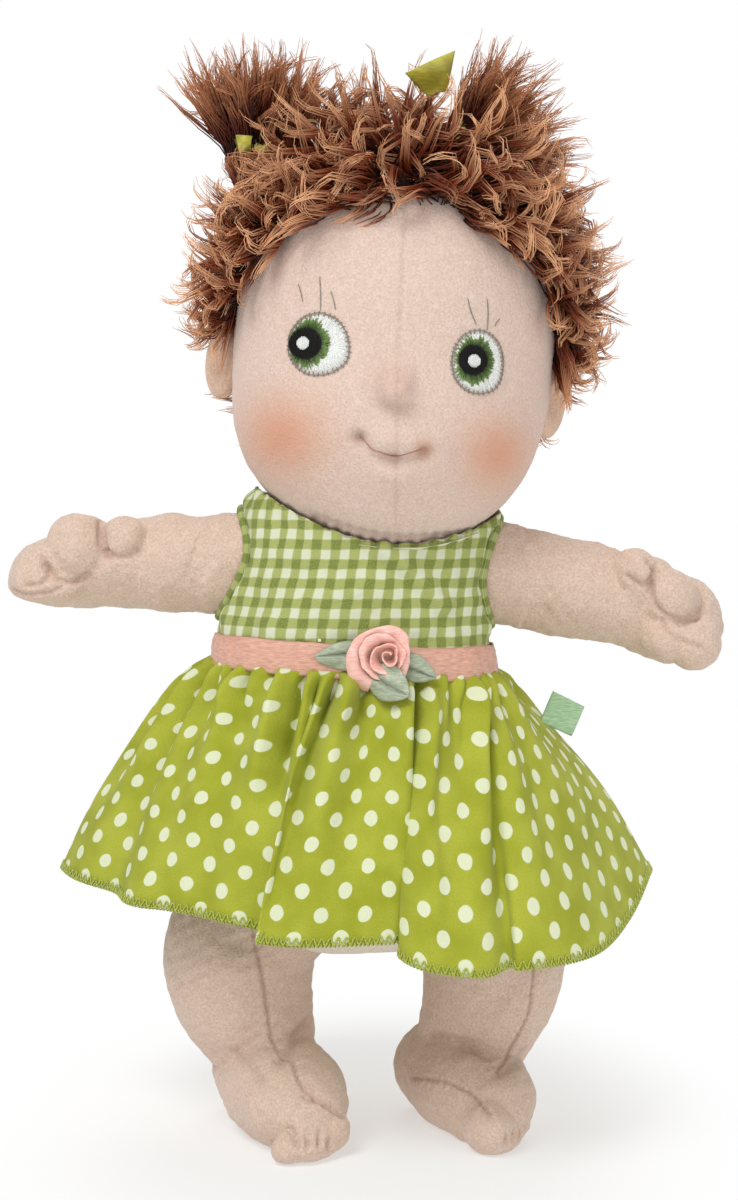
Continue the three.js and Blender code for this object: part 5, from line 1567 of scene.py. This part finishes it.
def build_hair_ribbon(name):
    """A satin band round the neck of the bunch, and a cut tail."""
    base, axis, across, deep = bunch_frame(TIES[name])
    rows, columns = 12, 72
    a, w = np.meshgrid(ring_angles(columns), np.linspace(-1, 1, rows))
    radius = 7.0 + 0.5 * np.cos(3 * a + 2 * w) + 0.9 * (1 - w ** 2) + 0.35 * np.sin(w * 9 + 2 * np.sin(a))
    p = (base + across * (radius * np.cos(a))[..., None] + deep * (radius * np.sin(a))[..., None]
         + axis * (w * 4.4 + 0.6 * np.sin(2 * a))[..., None])
    band = piece(f"Ribbon_band_{name}", to_world(p.reshape(-1, 3)),
                 grid_faces(rows, columns, closed=True), BOW)
    thickened(band, 0.5)
    a, b, c, d = RIBBON_TAIL[name]
    rows, columns = 30, 24
    u, v = np.meshgrid(np.linspace(0, 1, columns), np.linspace(0, 1, rows))
    grid = (((1 - u) * (1 - v))[..., None] * a + (u * (1 - v))[..., None] * b
            + (u * v)[..., None] * c + ((1 - u) * v)[..., None] * d)
    grid[..., 1] += -1.6 * np.sin(u * math.pi) * (1 - 0.5 * v) + 1.1 * np.sin(v * 5.0 + u * 2)
    tail = piece(f"Ribbon_tail_{name}", to_world(grid.reshape(-1, 3)), grid_faces(rows, columns), BOW)
    thickened(tail, 0.5)
    made = join(f"Hair_ribbon_{name}", [band, tail])
    set_marks(made.data, {"shade": np.clip(0.25 + 0.3 * wobble(where(made), 6.0, 7), 0, 1)})
    head_part(made, [f"{name}_hair_ribbon"])


# Picture positions and depths of the corners of each ribbon's tail
RIBBON_CORNERS = {
    "left": [(428, 96, -16), (447, 90, -16), (455, 50, -20), (405, 74, -22)],
    "right": [(236, 135, -14), (252, 136, -15), (250, 152, -17), (240, 154, -17)]}
RIBBON_TAIL = {name: [picture_to_head(*spot) for spot in spots] for name, spots in RIBBON_CORNERS.items()}


# Dress bodice
# The neckline's middle across, and its height in front and at the back
NECKLINE = dict(middle=9.8, front=175.6, back=183.0)
ARMHOLE_R, ARMHOLE_DEEP = 16.0, 13.8
WAIST_Z, BELT_HALF, BELT_TILT = 141.5, 4.8, math.radians(2.6)
BODICE_LOW, BODICE_TOP = 138.0, 192.0


def neck_height(p):
    """The neckline's height at each place."""
    x = p[:, 0] - NECKLINE["middle"]
    front = NECKLINE["front"] + 0.0094 * x * x
    back = NECKLINE["back"] + 0.004 * x * x
    share = smooth_step(-14, 14, p[:, 1])
    return front * (1 - share) + back * share


def bodice_fields(p):
    """How far each place lies below the neckline and clear of the armholes."""
    neck = neck_height(p) - p[:, 2]
    holes = []
    for name, side in SIDES.items():
        round_y = (p[:, 1] - SHIFT[1]) * ARMHOLE_R / ARMHOLE_DEEP
        far = np.hypot(round_y, p[:, 2] - SHOULDER_Z[name]) - ARMHOLE_R
        holes.append(np.where(side * p[:, 0] > 8, far, 10.0))
    return neck, np.minimum(*holes)


def cloth_puckers(p, neck, hole):
    """How far the bodice's cloth stands out: gathers at its edges, and one slanting fold in front."""
    x, y, z = p.T
    front = smooth_step(0, -10, y)
    move = 0.35 * wobble(p, 13.0, 131) + 0.12 * wobble(p, 5.0, 132)
    gathers = np.sin(x * 1.15 + 1.9 * np.sin(x * 0.21)) * 0.75
    move += gathers * np.exp(-np.maximum(neck, 0) / 7.5)
    low = np.maximum(z - (WAIST_Z + BELT_HALF), 0)
    pulled = np.sin(x * 0.9 + 2.0 * np.sin(x * 0.17 + 1))
    move += 0.6 * pulled * np.exp(-low / 7.0) * smooth_step(0, 2.5, low)
    move -= 0.5 * smooth_step(4, 0, low)
    a, b = np.array([5.4, 0, 173.0]), np.array([22.0, 0, 157.0])
    flat = np.stack([x, np.zeros_like(x), z], -1)
    far = distance_to_line(flat, np.array([a, (a + b) / 2 + [1, 0, 0.6], b]))
    move += front * (1.5 * np.exp(-(far / 2.2) ** 2) - 0.6 * np.exp(-((far - 4.2) / 1.9) ** 2))
    move += -0.5 * np.exp(-np.maximum(hole, 0) / 1.6) + 0.35 * np.exp(-((hole - 3) / 2) ** 2)
    return move


def bodice_panel(name, keep, node):
    """A panel cut out of a cloth that lies on the torso, where keep is positive."""
    columns, rows = 300, 96
    a, h = np.meshgrid(ring_angles(columns), np.linspace(BODICE_LOW, BODICE_TOP, rows))
    a, h = a.ravel(), h.ravel()
    base = on_torso(a, h, 1.0)
    neck, hole = bodice_fields(base)
    normal = unit(on_torso(a, h, 2.0) - base)
    p = base + normal * (0.5 + cloth_puckers(base, neck, hole))[:, None]
    p = under_head(p, 1.3)
    chest = on_torso(np.linspace(0, 2 * math.pi, columns + 1), np.full(columns + 1, 160.0), 1.0)
    uv = np.stack([np.tile(run_along(chest)[:-1], rows), h], -1)
    field = np.minimum(np.minimum(neck, hole), keep(base))
    points, kept = trim(np.hstack([p, uv]), grid_faces(rows, columns, closed=True), field)
    made = piece(name, points[:, :3], kept, GINGHAM, uv=points[:, 3:])
    tidy_normals(made)
    thickened(made, 0.7)
    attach(made, "trunk")
    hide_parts(node)


def binding_roll(name, line, closed):
    """A cloth-covered roll along a line, with cloth places in its map."""
    n, sides, radius = len(line), 14, 1.35
    ahead = np.roll(line, -1, 0) - np.roll(line, 1, 0) if closed else np.gradient(line, axis=0)
    along = unit(ahead)
    out = line - line.mean(0)
    out = unit(out - (out * along).sum(-1, keepdims=True) * along)
    side = np.cross(along, out)
    a = ring_angles(sides)
    p = (line[:, None] + out[:, None] * (radius * np.cos(a))[None, :, None]
         + side[:, None] * (radius * np.sin(a))[None, :, None])
    faces = grid_faces(n, sides, closed=True).tolist()
    if closed:
        last = (n - 1) * sides
        faces += [(last + i, last + (i + 1) % sides, (i + 1) % sides, i) for i in range(sides)]
    uv = np.stack([np.repeat(run_along(line), sides), np.tile(radius * a, n)], -1)
    made = piece(name, p.reshape(-1, 3), faces, GINGHAM, uv=uv)
    tidy_normals(made)
    return made


def armhole_line(name, side):
    """The armhole's edge on the bodice, and whether it runs all the way round."""
    turn = ring_angles(90)
    a = np.linspace(-0.5 * math.pi, 0.5 * math.pi, 200)
    a = a if side < 0 else a + math.pi
    line = []
    for y, z in zip(SHIFT[1] + ARMHOLE_DEEP * np.cos(turn), SHOULDER_Z[name] + ARMHOLE_R * np.sin(turn)):
        ring = on_torso(a, np.full(len(a), min(z, 191.0)), 1.6)
        best = np.argmin(np.abs(ring[:, 1] - y) + (side * ring[:, 0] < 8) * 99)
        line.append([ring[best, 0] + side * 0.2, y, z])
    line = np.array(line)
    inside = neck_height(line) + 1.2 - line[:, 2] >= 0
    if inside.all():
        return line, True
    start = np.argmin(inside)
    return np.roll(line, -start, 0)[np.roll(inside, -start)], False


def build_bodice():
    middle = SHIFT[0] - TORSO_LEAN * 0.8
    bodice_panel("Bodice_front_cloth", lambda p: 2.0 - p[:, 1], "bodice_front")
    bodice_panel("Bodice_back_left_cloth", lambda p: np.minimum(p[:, 1] - 2.0, p[:, 0] - middle + 0.2),
                 "bodice_back_left")
    bodice_panel("Bodice_back_right_cloth", lambda p: np.minimum(p[:, 1] - 2.0, middle - 0.2 - p[:, 0]),
                 "bodice_back_right")
    for name, side in SIDES.items():
        made = binding_roll(f"Armhole_binding_{name}", *armhole_line(name, side))
        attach(made, "trunk")
        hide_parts(f"{name}_armhole_binding")
    build_placket(middle)


def build_placket(middle):
    """The strip over the dress opening, down the middle of the back."""
    rows, columns = 60, 20
    u, v = np.meshgrid(np.linspace(-4.5, 4.5, columns), np.linspace(BODICE_LOW + 11, BODICE_LOW + 44, rows))
    angle = -math.pi / 2 + u / 30.5
    base = on_torso(angle.ravel(), v.ravel(), 2.2)
    base[:, 0] += middle - base[:, 0].mean()
    base[:, 1] += 0.25 * wobble(base, 8.0, 141)
    made = piece("Back_placket_cloth", base, grid_faces(rows, columns), GINGHAM,
                 uv=np.stack([u.ravel() + 2, v.ravel()], -1))
    tidy_normals(made)
    thickened(made, 0.6)
    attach(made, "trunk")
    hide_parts("back_placket")


def belt_height(x):
    """Height of the waist ribbon's middle, which slopes down to the doll's left."""
    return WAIST_Z - math.tan(BELT_TILT) * (x - SHIFT[0] + TORSO_LEAN)


def build_waist_ribbon():
    columns, rows = 320, 16
    a, w = np.meshgrid(ring_angles(columns), np.linspace(-1, 1, rows))
    a, w = a.ravel(), w.ravel()
    flat = on_torso(a, np.full(len(a), WAIST_Z), 1.5)
    z = belt_height(flat[:, 0]) + w * BELT_HALF
    base = on_torso(a, z, 1.9)
    normal = unit(on_torso(a, z, 2.9) - base)
    ripple = 0.3 * wobble(base * [1, 1, 0.25], 9.0, 151) + 0.45 * (1 - w ** 2)
    ripple += 0.12 * wobble(base, 3.0, 152)
    rib = 0.05 * np.cos(w * 40)
    p = base + normal * (ripple + rib)[:, None]
    p[:, 2] += 0.35 * wobble(base[:, :2], 20.0, 153)
    made = piece("Waist_ribbon_satin", p, grid_faces(rows, columns, closed=True), BELT,
                 marks={"shade": 0.25 * np.abs(w) ** 8})
    tidy_normals(made)
    thickened(made, 0.5)
    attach(made, "trunk")
    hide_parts("waist_ribbon")


# Rose and leaves
ROSE_AT = np.array([4.49, -36.2, 143.5])
ROSE_WINDINGS = 3.6


def build_rose():
    """A ribbon wound up round itself, with its outer edge folded out into petals."""
    steps, rows = 420, 14
    t, w = np.meshgrid(np.linspace(0, 1, steps), np.linspace(0, 1, rows))
    turn = t * ROSE_WINDINGS * 2 * math.pi + 0.6
    petal = 0.5 + 0.5 * np.cos(turn * 2.5 + 1.2 * np.sin(turn))
    reach = 0.9 + 7.2 * t ** 1.15
    flare = (0.35 + 2.3 * t) * w ** 1.6 * (0.55 + 0.7 * petal)
    radius = reach + flare - 0.5 * (1 - w) * t * 3
    share = (1 - t) ** 0.8
    x = radius * np.cos(turn) + 2.2 * share
    z = radius * np.sin(turn) + 0.2 * share
    x = np.where(x < 0, x * 1.08, x * 0.95)
    lift = -(w * (4.6 - 1.9 * t) * (0.85 + 0.25 * petal)) + 1.5 * flare * w * t
    lift += 0.35 * np.sin(turn * 7 + w * 3) * w * t
    p = np.stack([x, lift, z], -1).reshape(-1, 3)
    p = p + 0.22 * np.stack([wobble(p, 4.0, 161), wobble(p, 4.0, 162), wobble(p, 4.0, 163)], -1)
    p = p * 0.96 + ROSE_AT
    made = piece("Ribbon_rose_satin", p, grid_faces(rows, steps), ROSE,
                 marks={"shade": (0.45 * (1 - w) ** 1.5).ravel()})
    tidy_normals(made)
    thickened(made, 0.45)
    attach(made, "trunk")
    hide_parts("ribbon_rose")


# The leaf loops: root from the rose, picture position and depth of the tip, how far it is set back
LEAVES = {
    "left": dict(root=[-2.0, 1.8, 0.3], tip=(315, 657, -33.5), back=0.0, width=8.2, node="rose_leaf_left"),
    "right": dict(root=[3.0, 1.9, -0.8], tip=(436, 678, -34.5), back=1.0, width=7.8,
                  node="rose_leaf_right"),
    "lower": dict(root=[-3.5, 1.2, -4.4], tip=(409, 696, -42.0), back=0.0, width=10.4,
                  node="rose_leaf_lower")}


def build_leaves():
    for name, leaf in LEAVES.items():
        root = ROSE_AT + leaf["root"]
        tip = picture_point(*leaf["tip"]) + [0, leaf["back"], 0]
        along = unit(tip - root)
        side = unit(np.cross(along, [0, -1, 0]))
        out = np.cross(side, along)
        if out[1] > 0:
            out = -out
        rows, columns = 44, 26
        t, w = np.meshgrid(np.linspace(0, 1, rows), np.linspace(-1, 1, columns), indexing="ij")
        swell = np.sin(math.pi * t ** 0.85) ** 0.75
        half = leaf["width"] / 2 * np.maximum(swell, 0.02)
        rise = 1.5 * (1 - np.abs(w)) ** 0.6 * swell + 0.5 * np.sin(t * 9 + w * 2) * np.abs(w) * swell
        rise -= 1.1 * np.exp(-((w - 0.12) / 0.16) ** 2) * swell
        p = (root + along * (t * np.linalg.norm(tip - root))[..., None] + side * (w * half)[..., None]
             + out * rise[..., None])
        p = p.reshape(-1, 3)
        p = p + out * (0.2 * wobble(p, 3.5, 171))[:, None]
        made = piece(f"Rose_leaf_{name}_satin", p, grid_faces(rows, columns), LEAF,
                     marks={"shade": (0.6 * np.exp(-((w - 0.12) / 0.2) ** 2)).ravel()})
        tidy_normals(made)
        thickened(made, 0.4)
        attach(made, "trunk")
        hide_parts(leaf["node"])


# Skirt
# Hem places round the skirt: turn in radians from the doll's right over the front, x, y, z
HEM = [
    (0.00, -92, 2, 76), (0.45, -69, -30, 72.7), (0.72, -55, -40, 72.1), (0.98, -42, -48, 71.2),
    (1.30, -28, -53, 68.5), (1.45, -30.5, -60, 66.6), (1.72, -11, -59, 66.4), (1.96, 13, -58, 67),
    (2.07, 9.5, -65, 64.2), (2.20, 16, -68.5, 61.6), (2.45, 30, -68, 59.8), (2.60, 40.5, -62.5, 61),
    (2.68, 43, -64.5, 61), (2.86, 62, -50, 62.3), (3.00, 74.5, -28, 67), (3.10, 82.8, -8, 74.8),
    (3.25, 84.5, 8, 75.5), (3.55, 74, 26, 73.0), (3.80, 69, 35, 76.0), (4.05, 52, 52, 72.5),
    (4.30, 39, 55, 74.0), (4.60, 21, 64, 72.0), (4.85, 3, 60, 75.5), (5.10, -18, 66, 72.0),
    (5.35, -36, 55, 75.0), (5.60, -57, 53, 73.0), (5.85, -68, 35, 76.0), (6.10, -86, 20, 74.0)]
# Folds that run down: turn, how far down they reach as a share, depth
VALLEYS = [(0.31, 1.0, 2.4), (0.78, 0.16, 1.8), (1.21, 0.5, 2.4), (1.49, 1.0, 2.6), (1.68, 0.2, 1.6),
           (2.03, 1.0, 3.0), (2.20, 0.6, 1.0), (2.58, 1.0, 2.4), (2.84, 0.7, 1.2), (3.7, 0.6, 2.0),
           (4.2, 0.9, 2.4), (4.8, 0.8, 2.2), (5.35, 0.9, 2.4), (5.8, 0.5, 2.0)]
SKIRT_LONG = 78.0
# Turns where the skirt is parted
SPLIT_FRONT, SPLIT_BACK = 2.03, 4.80


def half_turns(side, count):
    """Turns from one parting to the other, round the doll's right or left side."""
    if side < 0:
        return np.linspace(SPLIT_BACK - 2 * math.pi, SPLIT_FRONT, count)
    return np.linspace(SPLIT_FRONT, SPLIT_BACK, count)


def skirt_surface(turn, share):
    """Points of the gathered skirt; the share runs from 0 at the waist to 1 at the hem."""
    table = np.array(HEM, float)
    knots = np.concatenate([table[-3:, 0] - 2 * math.pi, table[:, 0], table[:3, 0] + 2 * math.pi])
    values = np.vstack([table[-3:, 1:], table[:, 1:], table[:3, 1:]])
    t = np.mod(turn, 2 * math.pi)
    i = np.clip(np.searchsorted(knots, t, side="right") - 1, 1, len(knots) - 3)
    f = ((t - knots[i]) / (knots[i + 1] - knots[i]))[:, None]
    hem = between(values[i - 1], values[i], values[i + 1], values[i + 2], f)
    hem = hem + [SHIFT[0], SHIFT[1], 0]
    out = np.stack([-np.cos(turn), -np.sin(turn)], -1)
    top_x = SHIFT[0] - TORSO_LEAN + 42.6 * out[:, 0]
    top = np.stack([top_x, SHIFT[1] + 33.0 * out[:, 1], belt_height(top_x) - 3.0], -1)
    s = share[:, None]
    puff = 0.085 * np.sin(math.pi * np.clip(share, 0, 1))
    p = top * (1 - s) + hem * s
    p[:, :2] += (hem - top)[:, :2] * puff[:, None]
    p[:, 2] += 2.0 * np.sin(math.pi * share)
    fade = np.exp(-(share / 0.24) ** 1.4)
    swell = np.cos(17 * turn + 1.4 * np.sin(3 * turn) + 0.9 * np.sin(7 * turn))
    swell = swell * np.exp(-(share / 0.6) ** 2.2)
    phase = 43 * turn + 1.7 * np.sin(5 * turn) + 1.2 * np.sin(9 * turn + 1)
    gather = (1.9 * np.cos(phase) + 1.3 * np.cos(0.53 * phase + 1)) * fade * smooth_step(-0.02, 0.05, share)
    gather += 2.6 * swell * smooth_step(0.0, 0.15, share)
    small = 0.35 * wobble(np.stack([turn * 60, share * 30], -1), 16.0, 181) * np.minimum(1, share * 4)
    dent = np.zeros_like(turn)
    for at, reach, depth in VALLEYS:
        away = np.mod(turn - at + math.pi, 2 * math.pi) - math.pi
        wide = 0.036 + 0.05 * share
        along = smooth_step(0.0, 0.08, share) * (1 - smooth_step(0.75 * reach, 1.15 * reach + 0.02, share))
        if reach >= 1.0:
            along = smooth_step(0.0, 0.08, share) * (1 - 0.55 * share)
        dent -= 2.2 * depth * np.exp(-(away / wide) ** 2) * along
        dent += 0.95 * depth * np.exp(-((np.abs(away) - 2.1 * wide) / (1.1 * wide)) ** 2) * along
    p[:, :2] += out * (gather + small + dent)[:, None]
    return p


def skirt_half(name, side):
    """One half of the skirt and its width along the hem; it meets the other at the partings."""
    columns, rows = 420, 64
    turns = half_turns(side, columns)
    u = np.linspace(0, 1, rows)
    shares = 0.35 * u ** 1.5 + 0.65 * u
    t, s = np.meshgrid(turns, shares)
    p = skirt_surface(t.ravel(), s.ravel())
    run = run_along(skirt_surface(turns, np.ones(columns)))
    if side < 0:
        run = run - run[-1]
    uv = np.stack([np.tile(run, rows), s.ravel() * SKIRT_LONG], -1)
    made = piece(name, p, grid_faces(rows, columns), DOTTED, uv=uv)
    return made, abs(run[-1] - run[0])


def build_skirt():
    for name, side in SIDES.items():
        made, wide = skirt_half(f"Skirt_half_{name}", side)
        thickened(made, 0.6)
        swung(made)
        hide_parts("skirt")


def swung(made):
    """Bakes a skirt piece's placement into its points."""
    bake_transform(made)


# Distance between two loops of the hem thread, the steps that draw one, and places along the hem
LOOP_PITCH = 1.15
LOOP_STEPS = 6
HEM_PLACES = 1200


def build_overlock():
    """The thread that covers the hem's edge: loops round it, and two zigzags above."""
    for name, side in SIDES.items():
        turns = half_turns(side, HEM_PLACES)
        edge = skirt_surface(turns, np.ones(HEM_PLACES))
        inner = skirt_surface(turns, np.full(HEM_PLACES, 0.965))
        run = run_along(edge)
        at = np.linspace(0, run[-1], int(run[-1] / LOOP_PITCH) * LOOP_STEPS)
        e = np.stack([np.interp(at, run, edge[:, k]) for k in range(3)], -1)
        i = np.stack([np.interp(at, run, inner[:, k]) for k in range(3)], -1)
        down = unit(e - i)
        along = unit(np.gradient(e, axis=0))
        out = np.cross(along, down)
        phase = 2 * math.pi * np.arange(len(at)) / LOOP_STEPS
        loops = e + down * (0.5 * np.cos(phase) - 0.1)[:, None] + out * (0.62 * np.sin(phase))[:, None]
        zig = e - down * (1.1 + 1.0 * np.cos(phase * 0.5))[:, None] + out * 0.55
        back = e - down * (1.1 + 1.0 * np.cos(phase * 0.5 + 1))[:, None] - out * 0.55
        made = sewn(f"Hem_overlock_{name}", [loops, zig, back], OVERLOCK, 0.55, sides=4, end_share=1.0)
        swung(made)
        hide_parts("hem_overlock")


# Picture positions of the tag's corners: top at the skirt, top, bottom, bottom at the skirt
TAG_CORNERS = ((553, 691), (584, 706), (571, 735), (540, 722))
TAG_DEPTH = -2.0


def build_tag():
    """A short satin band doubled over; both ends are caught in the skirt's side seam."""
    corners = [picture_point(*spot, TAG_DEPTH) for spot in TAG_CORNERS]
    rows, columns = 16, 40
    u, v = np.meshgrid(np.linspace(0, 1, columns), np.linspace(0, 1, rows))
    out = 1 - np.abs(2 * u - 1)
    bend = np.clip((u - 0.47) / 0.06, 0, 1) * math.pi
    top = corners[0] + (corners[1] - corners[0]) * out[..., None]
    low = corners[3] + (corners[2] - corners[3]) * out[..., None]
    p = top + (low - top) * v[..., None]
    p[..., 1] += 0.55 * np.cos(bend) + 0.45 * np.sin(v * 3 + out * 2.4) - 3.0 * out
    made = piece("Side_tag_loop", p.reshape(-1, 3), grid_faces(rows, columns), TAG)
    tidy_normals(made)
    thickened(made, 0.25)
    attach(made, "trunk")
    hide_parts("side_tag")


# Stage
SENSOR = 36
# Name, place, aim, size and power of each light
LIGHTS = (("Key_light", (-0.65, -1.0, 1.55), (0, 0, 0.16), 0.8, 18.0),
          ("Fill_light", (0.9, -1.4, 0.5), (0, 0, 0.12), 1.2, 6.0),
          ("Rim_light", (0.2, 1.1, 1.3), (0, 0, 0.2), 1.0, 8.0))


def build_world():
    """Soft light from all sides, and plain white behind the doll."""
    world = bpy.data.worlds.new("Studio")
    bpy.context.scene.world = world
    world.use_nodes = True
    w = Nodes(world.node_tree)
    back = w.tree.nodes["Background"]
    w.put(back.inputs["Color"], (1.0, 0.992, 0.98, 1))
    w.put(back.inputs["Strength"], 0.5)
    white = w.add("ShaderNodeBackground", Color=(1, 1, 1, 1), Strength=1.0)
    seen = w.add("ShaderNodeLightPath").outputs["Is Camera Ray"]
    choose = w.add("ShaderNodeMixShader", i0=seen, i1=back.outputs[0], i2=white.outputs[0])
    w.put(w.tree.nodes["World Output"].inputs["Surface"], choose.outputs[0])


def build_floor():
    """A pale floor that fades into the white round the doll."""
    f = Finish("Studio_floor", Roughness=0.9, Specular_IOR_Level=0.1)
    f.shader.inputs["Base Color"].default_value = (0.94, 0.94, 0.94, 1)
    x, y, _ = f.parts(f.place())
    level = f.add("ShaderNodeCombineXYZ", i0=x, i1=f.math("MULTIPLY", y, 0.75))
    away = f.vector("LENGTH", level.outputs[0])
    glow = f.add("ShaderNodeEmission", Color=(1, 1, 1, 1), Strength=1.0)
    blend = f.add("ShaderNodeMixShader", i0=f.range(away, 0.055, 0.125, 0.45, 1.0),
                  i1=f.shader.outputs[0], i2=glow.outputs[0])
    f.put(f.tree.nodes["Material Output"].inputs["Surface"], blend.outputs[0])
    bpy.ops.mesh.primitive_plane_add(size=6)
    floor = bpy.context.object
    floor.name = "Studio_floor"
    floor.data.materials.append(f.material)


def build_lights():
    for name, place, aim, size, power in LIGHTS:
        light = bpy.data.lights.new(name, "AREA")
        light.size = size
        light.energy = power
        lamp = new_object(name, light)
        lamp.location = place
        lamp.rotation_euler = (Vector(aim) - Vector(place)).to_track_quat("-Z", "Y").to_euler()


def build_camera():
    """The photo's camera."""
    camera = bpy.data.cameras.new("Photo_camera")
    camera.sensor_fit = "AUTO"
    camera.sensor_width = SENSOR
    camera.lens = SENSOR * PICTURE_FOCUS / PICTURE_HIGH
    camera.clip_start = 0.01
    eye = new_object("Photo_camera", camera)
    eye.location = LENS_PLACE * MM
    eye.rotation_euler = (math.radians(90) - LENS_DROP, 0, 0)
    bpy.context.scene.camera = eye


build_torso()
build_neck()
build_head()
for one_side in SIDES:
    build_arm(one_side)
    build_leg(one_side)
    build_eye(one_side)
    build_bunch(one_side)
    build_hair_ribbon(one_side)
build_ears()
build_mouth()
build_scalp()
build_hair()
build_bodice()
build_waist_ribbon()
build_rose()
build_leaves()
build_skirt()
build_overlock()
build_tag()
build_world()
build_floor()
build_lights()
build_camera()
bpy.context.scene.view_settings.view_transform = "Standard"
